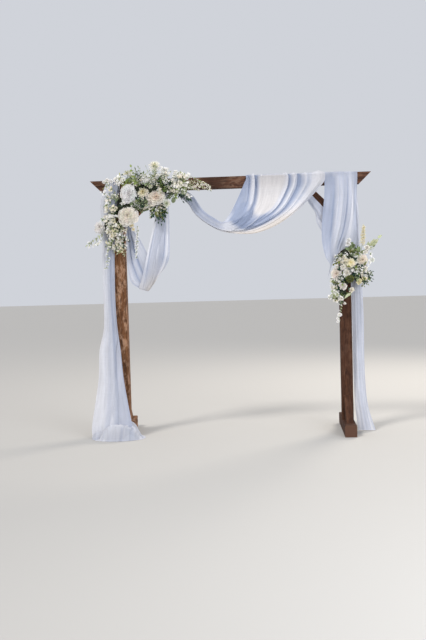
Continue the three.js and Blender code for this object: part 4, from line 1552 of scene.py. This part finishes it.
def build_left_blooms():
    front = (-0.05, -1, 0.12)
    ruffled = {"lean": (0.25, 1.75), "width": (0.5, 0.75), "cup": 0.10, "ruffle": 0.20, "depth": 0.32}
    # Each bloom has painted shade at its petals' feet; a lower share makes it darker
    big_bloom("white_ruffled_bloom", "white_petals", 1, (-848, -205, 2072), front, 0.094, 110, WHITE, WHITE,
              size=(0.32, 0.95), squash=(0.78, 1.0), deep=0.92, **ruffled)
    big_bloom("cream_ruffled_bloom", "cream_petals", 2, (-862, -205, 1889), front, 0.087, 115, CREAM, IVORY,
              size=(0.32, 0.97), deep=0.66, **ruffled)
    big_bloom("blush_rose", "blush_petals", 3, (-606, -200, 2040), (0.1, -1, 0.35), 0.078, 46, BLUSH, IVORY,
              lean=(0.1, 1.6), size=(0.4, 1.0), width=(0.75, 1.05), cup=0.26, depth=0.42, squash=(1.0, 0.86))
    big_bloom("cream_carnation", "cream_petals", 4, (-726, -203, 2085), (-0.2, -1, 0.3), 0.050, 70,
              BUTTER, IVORY, lean=(0.15, 1.85), size=(0.4, 1.15), width=(0.24, 0.38), cup=0.05, ruffle=0.14,
              point=0.3, grid=6)
    big_bloom("white_small_bloom", "white_petals", 5, (-1114, -164, 1800), (-0.25, -1, 0.1), 0.052, 46,
              PINKISH_WHITE, WHITE, lean=(0.2, 1.8), size=(0.4, 1.05), width=(0.4, 0.6), cup=0.08, ruffle=0.2,
              grid=6, deep=0.6)
    big_bloom("white_low_bloom", "white_petals", 6, (-522, -180, 1978), (0.3, -1, -0.1), 0.036, 26,
              PALE_GREY_GREEN, WHITE, lean=(0.0, 1.6), width=(0.5, 0.8), cup=0.1, ruffle=0.08, grid=5)


def build_spider_bloom():
    """Long thin petals all round a yellowish cream middle, on a stem above the beam."""
    bunch = Bunch(31)
    bunch.stem([place(-628, -135, 2150), place(-626, -150, 2230), place(-620, -165, 2295)], 0.003)
    bunch.bloom(place(-620, -165, 2297), (0, -0.85, 0.5), 0.058, 80, WARM_CREAM, WHITE, lean=(0.0, 2.0),
                size=(0.6, 1.0), width=(0.16, 0.22), cup=0.05, curl=0.1, depth=0.1, point=0.7, grid=5)
    bunch.finish("spider_bloom_petals", "cream_petals", "spider_bloom")


def build_spiky_bud():
    bunch = Bunch(32)
    bunch.stem([place(-840, -150, 2080), place(-846, -158, 2160), place(-852, -165, 2250)], 0.0028)
    bunch.bloom(place(-852, -165, 2245), (-0.1, -0.5, 0.9), 0.040, 44, YELLOW_GREEN, CREAM, lean=(0.0, 1.3),
                size=(0.8, 1.1), width=(0.12, 0.2), cup=0.05, curl=0.35, ruffle=0.03, depth=0.3, point=0.9,
                grid=5)
    bunch.finish("spiky_bud_petals", "cream_petals", "spiky_bud")


def build_cream_cluster():
    bunch = Bunch(33)
    pick = bunch.picker.uniform
    for _ in range(20):
        tip = place(-692 + pick(-36, 36), -194 + pick(-10, 10), 2192 + pick(-30, 30))
        bunch.spray(place(-712, -160, 2130), tip, 0.018, 10, 0.0125, WHITE, leaves=0.1)
    bunch.finish("cream_cluster_flowers", "white_petals", "cream_cluster")


def build_left_tall_sprig():
    bunch = Bunch(34)
    bunch.sprig(place(-870, -150, 2070), place(-912, -168, 2225), 0.042, 0.012, 7, YELLOW_GREEN)
    bunch.sprig(place(-872, -150, 2080), place(-890, -172, 2190), 0.036, 0.011, 5, LIGHT_GREEN)
    bunch.finish("left_tall_sprig_leaves", "foliage", "left_tall_sprig")


def build_upright_plume(name, seed, root, tip, reach, count):
    """Tiny flowers about a line that leans out over the beam."""
    bunch = Bunch(seed)
    pick = bunch.picker.uniform
    for i in range(count):
        share = 0.35 + 0.65 * i / count
        off = np.array([pick(-1, 1) * reach, pick(-0.5, 0.3) * reach, pick(-0.7, 0.7) * reach])
        bunch.spray(root + (tip - root) * share * 0.7, root + (tip - root) * share + off, 0.018, 10, 0.0088,
                    WHITE, GREY_GREEN, leaves=0.15)
    bunch.finish(name + "_flowers", "white_petals", name)


PLUME_TINTS = (IVORY, CREAM, WARM_CREAM, LIGHT_GREEN)


def build_right_plume():
    """Stems full of buds that arch over to the right and hang below the beam."""
    bunch = Bunch(37)
    pick = bunch.picker.uniform
    root = place(-405, -135, 2150)
    paths = [[root, place(-352, -155, 2198), place(-285, -160, 2183), place(-217, -158, 2146),
              place(-165, -152, 2105), place(-143, -150, 2062)]]
    for x, z in ((-150, 2116), (-170, 2096), (-155, 2084), (-195, 2136), (-240, 2075), (-285, 2092)):
        paths.append([root, place(x / 2 - 185, -150, z + 28), place(x, -150, z)])
    last = 15
    for path in paths:
        line = bunch.stem(path, SPRIG_STEM, LIGHT_GREEN, count=last + 1)
        for _ in range(60):
            at = line[min(int(pick(0.2, 1.0) * last), last)]
            off = place(pick(-9, 9), pick(-9, 7), pick(-8, 8))
            bunch.bud(at + off, pick(0.0022, 0.0042), PLUME_TINTS, (1, 0, -0.3), 1.6)
    for i in range(10):
        bunch.blossom(place(-310 + 17 * i, -154, 2112 + pick(-18, 18)), FACING_LEVEL, 0.012, IVORY)
    bunch.finish("right_plume_flowers", "cream_petals", "right_plume")


def build_far_left_sprig():
    bunch = Bunch(38)
    bunch.sprig(place(-1060, -140, 1760), place(-1212, -168, 1650), 0.036, 0.016, 6, PALE_GREY_GREEN)
    for x, z in ((-1140, 1642), (-1165, 1635), (-1205, 1648), (-1212, 1632), (-1115, 1660)):
        bunch.spray(place(x + 40, -150, z + 50), place(x, -166, z), 0.020, 9, 0.0098, WHITE)
    bunch.finish("far_left_sprig_leaves", "grey_leaf", "far_left_sprig")


def build_left_hanging_sprig():
    bunch = Bunch(39)
    pick, choice = bunch.picker.uniform, bunch.picker.choice
    path = [place(-1010, -150, 1770), place(-1030, -160, 1640), place(-1060, -150, 1455)]
    for at in bunch.stem(path, 0.0022, GREY_GREEN)[2:]:
        bunch.spray(at, at + (pick(-0.012, 0.012), -0.008, -0.012), 0.014, 4, 0.006, WHITE)
        bunch.leaf(at, (choice((-1, 1)), -0.3, -0.8), 0.020, 0.008, PALE_GREY_GREEN, FACING_LEVEL, rows=5)
    bunch.finish("left_hanging_sprig_leaves", "grey_leaf", "left_hanging_sprig")


# Right spray

RIGHT_MOUNDS = [
    ((1000, -124, 1470), (0.115, 0.062, 0.115)),
    ((1080, -122, 1370), (0.095, 0.060, 0.130)),
    ((940, -122, 1320), (0.095, 0.060, 0.110)),
    ((910, -118, 1190), (0.075, 0.050, 0.080)),
]
RIGHT_GREENS = (GREEN, GREEN, LIGHT_GREEN, GREY_GREEN, DARK_OLIVE, TEAL_GREEN, TEAL_GREEN)

# The small flowers among the big ones, as (x, z, radius, tint) in millimetres
RIGHT_BLOOMS = [
    (993, 1622, 22, WHITE), (986, 1594, 23, WHITE), (1143, 1555, 25, IVORY), (1128, 1518, 21, IVORY),
    (941, 1402, 26, IVORY), (975, 1354, 37, IVORY), (1124, 1383, 24, IVORY), (938, 1243, 34, PINKISH_WHITE),
    (1008, 1208, 24, CREAM), (1070, 1279, 26, BUTTER), (905, 1300, 26, PINKISH_WHITE),
    (1116, 1301, 22, BUTTER), (920, 1140, 22, PINKISH_WHITE), (850, 1235, 19, IVORY),
    (890, 1405, 18, IVORY), (915, 1468, 14, IVORY), (948, 1488, 13, CREAM), (928, 1440, 13, CREAM),
    (962, 1462, 12, WARM_CREAM), (1021, 1369, 15, WHITE), (840, 1253, 14, WHITE), (859, 1219, 15, IVORY),
    (876, 1243, 14, WHITE), (948, 1098, 13, PINKISH_WHITE),
]
RIGHT_GREEN_BLOOMS = [(1184, 1454, 22), (829, 1150, 19)]

# Grey leaves over the flowers, as (x, z, how far they point aside, and up) in millimetres
RIGHT_UPPER_LEAVES = [
    (1031, 1532, -10, 34), (1064, 1525, 14, 36), (1010, 1545, -30, 20), (1090, 1520, 40, 24),
]

# Where single stems of tiny flowers come out at the edges, as (x, z) in millimetres
RIGHT_EDGE_SPRAYS = [
    (1130, 1303), (1150, 1340), (1160, 1420), (1175, 1500), (830, 1150), (1110, 1262), (860, 1290),
]


def add_right_flowers(bunch):
    """The small flowers, those at the left edge a little further back, and a cloud of tiny ones on top."""
    facing = (0.1, -1, 0.15)
    for x, z, size, tint in RIGHT_BLOOMS:
        # The small flowers have strong painted shade at their petals' feet
        bunch.small_blooms([(x, z, size)], -193 if x > 890 else -172, facing, 14 + size // 2,
                           blend_colours(tint, BUTTER, 0.2), tint, width=(0.36, 0.6), cup=0.15, ruffle=0.16,
                           deep=0.5)
    inner, outer = (blend_colours(PALE_GREY_GREEN, WHITE, share) for share in (0.5, 0.85))
    bunch.small_blooms(RIGHT_GREEN_BLOOMS, -172, facing, 22, inner, outer)
    for i in range(10):
        at = place(905 + 9 * i, -168, 1452 + swung(i, 24))
        bunch.spray(at + (0, 0.04, -0.01), at, 0.018, 8, 0.0095, CREAM, leaf_tint=PALE_GREY_GREEN)


def add_right_leaves(bunch):
    """Dark leaves between the flowers, grey ones above them and a long pale one below."""
    for _ in range(60):
        at = bunch.random_place((900, 1150), -168, (1200, 1480))
        if not hides_bloom(at, 0.8) and (at[0] < 0.99 or at[2] > 1.33):
            bunch.strewn_leaf(at, (0, -0.7, 0.2), 1.3, 0.042, 0.018, (TEAL_GREEN, TEAL_GREEN, DARK_OLIVE),
                              FACING_UP)
    bunch.strewn_leaves(20, (1040, 1120), -186, (1325, 1405), 0.8, (0, -0.6, 0.2), 1.3, 0.034, 0.015,
                        TEAL_GREEN, FACING_UP)
    for x, z, aside, rise in RIGHT_UPPER_LEAVES:
        bunch.leaf(place(x, -160, z - 10), (aside, -10, rise), 0.058, 0.030, GREY_GREEN, (0.1, -1, 0.3),
                   rows=8)
    bunch.leaf(place(1010, -165, 1186), (-0.85, -0.2, -0.45), 0.085, 0.024, PALE_GREY_GREEN, (0, -1, 0.6),
               rows=9)


def build_right_greenery():
    bunch = Bunch(202)
    bunch.greenery(RIGHT_MOUNDS, 90, 52, RIGHT_GREENS)
    add_right_flowers(bunch)
    add_right_leaves(bunch)
    for x, z in RIGHT_EDGE_SPRAYS:
        bunch.spray(place(x * 0.96 + 40, -140, z), place(x, -165, z), 0.03, 8, 0.0075, WHITE)
    bunch.finish("right_greenery_bunch", "foliage", "right_greenery")


def build_right_blooms():
    # Each bloom has painted shade at its petals' feet; a lower share makes it darker
    big_bloom("blush_cream_bloom", "blush_petals", 7, (1106, -186, 1458), (0.15, -1, 0.15), 0.048, 34,
              blend_colours(BLUSH, BUTTER, 0.15), blend_colours(CREAM, IVORY, 0.6), lean=(0.15, 1.6),
              size=(0.4, 1.0), width=(0.5, 0.8), cup=0.24, ruffle=0.10, grid=6, deep=0.58)
    big_bloom("yellow_cream_bloom", "cream_petals", 8, (1002, -188, 1438), (-0.1, -1, 0.15), 0.049, 46,
              BUTTER, IVORY, lean=(0.15, 1.7), size=(0.4, 1.05), width=(0.5, 0.8), cup=0.15, ruffle=0.12,
              grid=6)
    big_bloom("white_side_bloom", "white_petals", 9, (878, -174, 1350), (-0.3, -1, 0.1), 0.048, 46,
              BLUSH, PINKISH_WHITE, lean=(0.2, 1.7), size=(0.4, 1.1), width=(0.36, 0.55), cup=0.1,
              ruffle=0.17, grid=6, deep=0.5)


def build_dark_seed_head():
    """A ball of dark scales set in a spiral."""
    bunch = Bunch(41)
    centre = place(994, -190, 1300)
    count = 170
    bunch.moss(centre, (0.030, 0.028, 0.030), shrink=0.95)
    for i in range(count):
        height = 1 - 2 * (i + 0.5) / count
        ring = math.sqrt(1 - height * height)
        way = np.array([ring * math.cos(i * GOLDEN_TURN), ring * math.sin(i * GOLDEN_TURN), height])
        bunch.bud(centre + way * 0.031, 0.0034, (DARK_SEED, DARK_SEED, DARK_OLIVE), way, 1.4)
    bunch.finish("dark_seed_head_ball", "seed_head", "dark_seed_head")


def build_low_white_cluster():
    bunch = Bunch(42)
    pick = bunch.picker.uniform
    for _ in range(11):
        tip = place(868 + pick(-36, 30), -175 + pick(-10, 10), 1180 + pick(-34, 30))
        bunch.spray(place(890, -140, 1200), tip, 0.014, 7, 0.0095, WHITE)
        bunch.strewn_leaf(tip, (0, -0.6, -0.3), 1.2, 0.03, 0.013, PALE_GREY_GREEN, FACING_UP, rows=5)
    bunch.finish("low_white_cluster_flowers", "white_petals", "low_white_cluster")


def build_cream_astilbe():
    """A plume of tiny buds that narrows to its tip."""
    bunch = Bunch(43)
    picker = bunch.picker
    root, tip = place(1090, -140, 1500), place(1118, -165, 1745)
    last = 23
    line = bunch.stem([root, (root + tip) / 2 + (0.006, 0, 0), tip], 0.0022, LIGHT_GREEN, count=last + 1)
    for _ in range(260):
        share = picker.uniform(0.34, 1.0)
        reach = 0.033 * (1.10 - share) ** 0.45
        way = unit([picker.gauss(0, 1), picker.gauss(-0.3, 1), picker.gauss(0.5, 0.6)])
        at = line[int(share * last)] + way * reach * picker.uniform(0.3, 1.0)
        bunch.bud(at, picker.uniform(0.0032, 0.0052), (WARM_CREAM, IVORY, BUTTER), way, 1.3)
    bunch.finish("cream_astilbe_plume", "cream_petals", "cream_astilbe")


def build_right_grey_leaf():
    bunch = Bunch(44)
    bunch.sprig(place(1085, -150, 1480), place(1232, -170, 1630), 0.062, 0.036, 5, PALE_GREY_GREEN, tilt=0.75)
    bunch.leaf(place(1165, -162, 1570), (0.70, -0.08, 0.55), 0.090, 0.046, PALE_GREY_GREEN, (0.1, -1, 0.2),
               droop=0.08, fold=0.2, rows=12)
    bunch.sprig(place(1100, -150, 1500), place(1188, -168, 1560), 0.036, 0.018, 3, GREY_GREEN)
    bunch.finish("right_grey_leaf_leaves", "grey_leaf", "right_grey_leaf")


def build_right_trailing_sprig():
    bunch = Bunch(45)
    pick, choice = bunch.picker.uniform, bunch.picker.choice
    path = [place(930, -150, 1150), place(912, -165, 1050), place(892, -160, 945)]
    for at in bunch.stem(path, 0.0018, GREY_GREEN)[1:]:
        bunch.leaf(at, (choice((-1, 1)), -0.3, -1.2), 0.018, 0.008, PALE_GREY_GREEN, FACING_LEVEL, rows=5)
        if bunch.picker.random() < 0.6:
            bunch.blossom(at + (pick(-0.006, 0.006), -0.004, 0), (0, -1, 0), 0.006, WHITE)
    bunch.small_blooms([(903, 1002, 19), (888, 970, 12), (889, 945, 13)], -168, (-0.2, -1, 0.2), 22,
                       IVORY, WHITE, ruffle=0.1)
    bunch.finish("right_trailing_sprig_leaves", "grey_leaf", "right_trailing_sprig")


def build_flowers():
    build_left_greenery()
    build_right_greenery()
    build_left_blooms()
    build_right_blooms()
    build_spider_bloom()
    build_spiky_bud()
    build_cream_cluster()
    build_left_tall_sprig()
    build_upright_plume("left_plume", 35, place(-560, -150, 2140), place(-528, -180, 2270), 0.032, 26)
    build_upright_plume("middle_plume", 36, place(-470, -150, 2140), place(-406, -180, 2235), 0.040, 30)
    build_right_plume()
    build_far_left_sprig()
    build_left_hanging_sprig()
    build_dark_seed_head()
    build_low_white_cluster()
    build_cream_astilbe()
    build_right_grey_leaf()
    build_right_trailing_sprig()


# The whole arch

scene.view_settings.view_transform = "Standard"
add_camera()
add_studio()
build_timber()
build_cloth()
build_flowers()
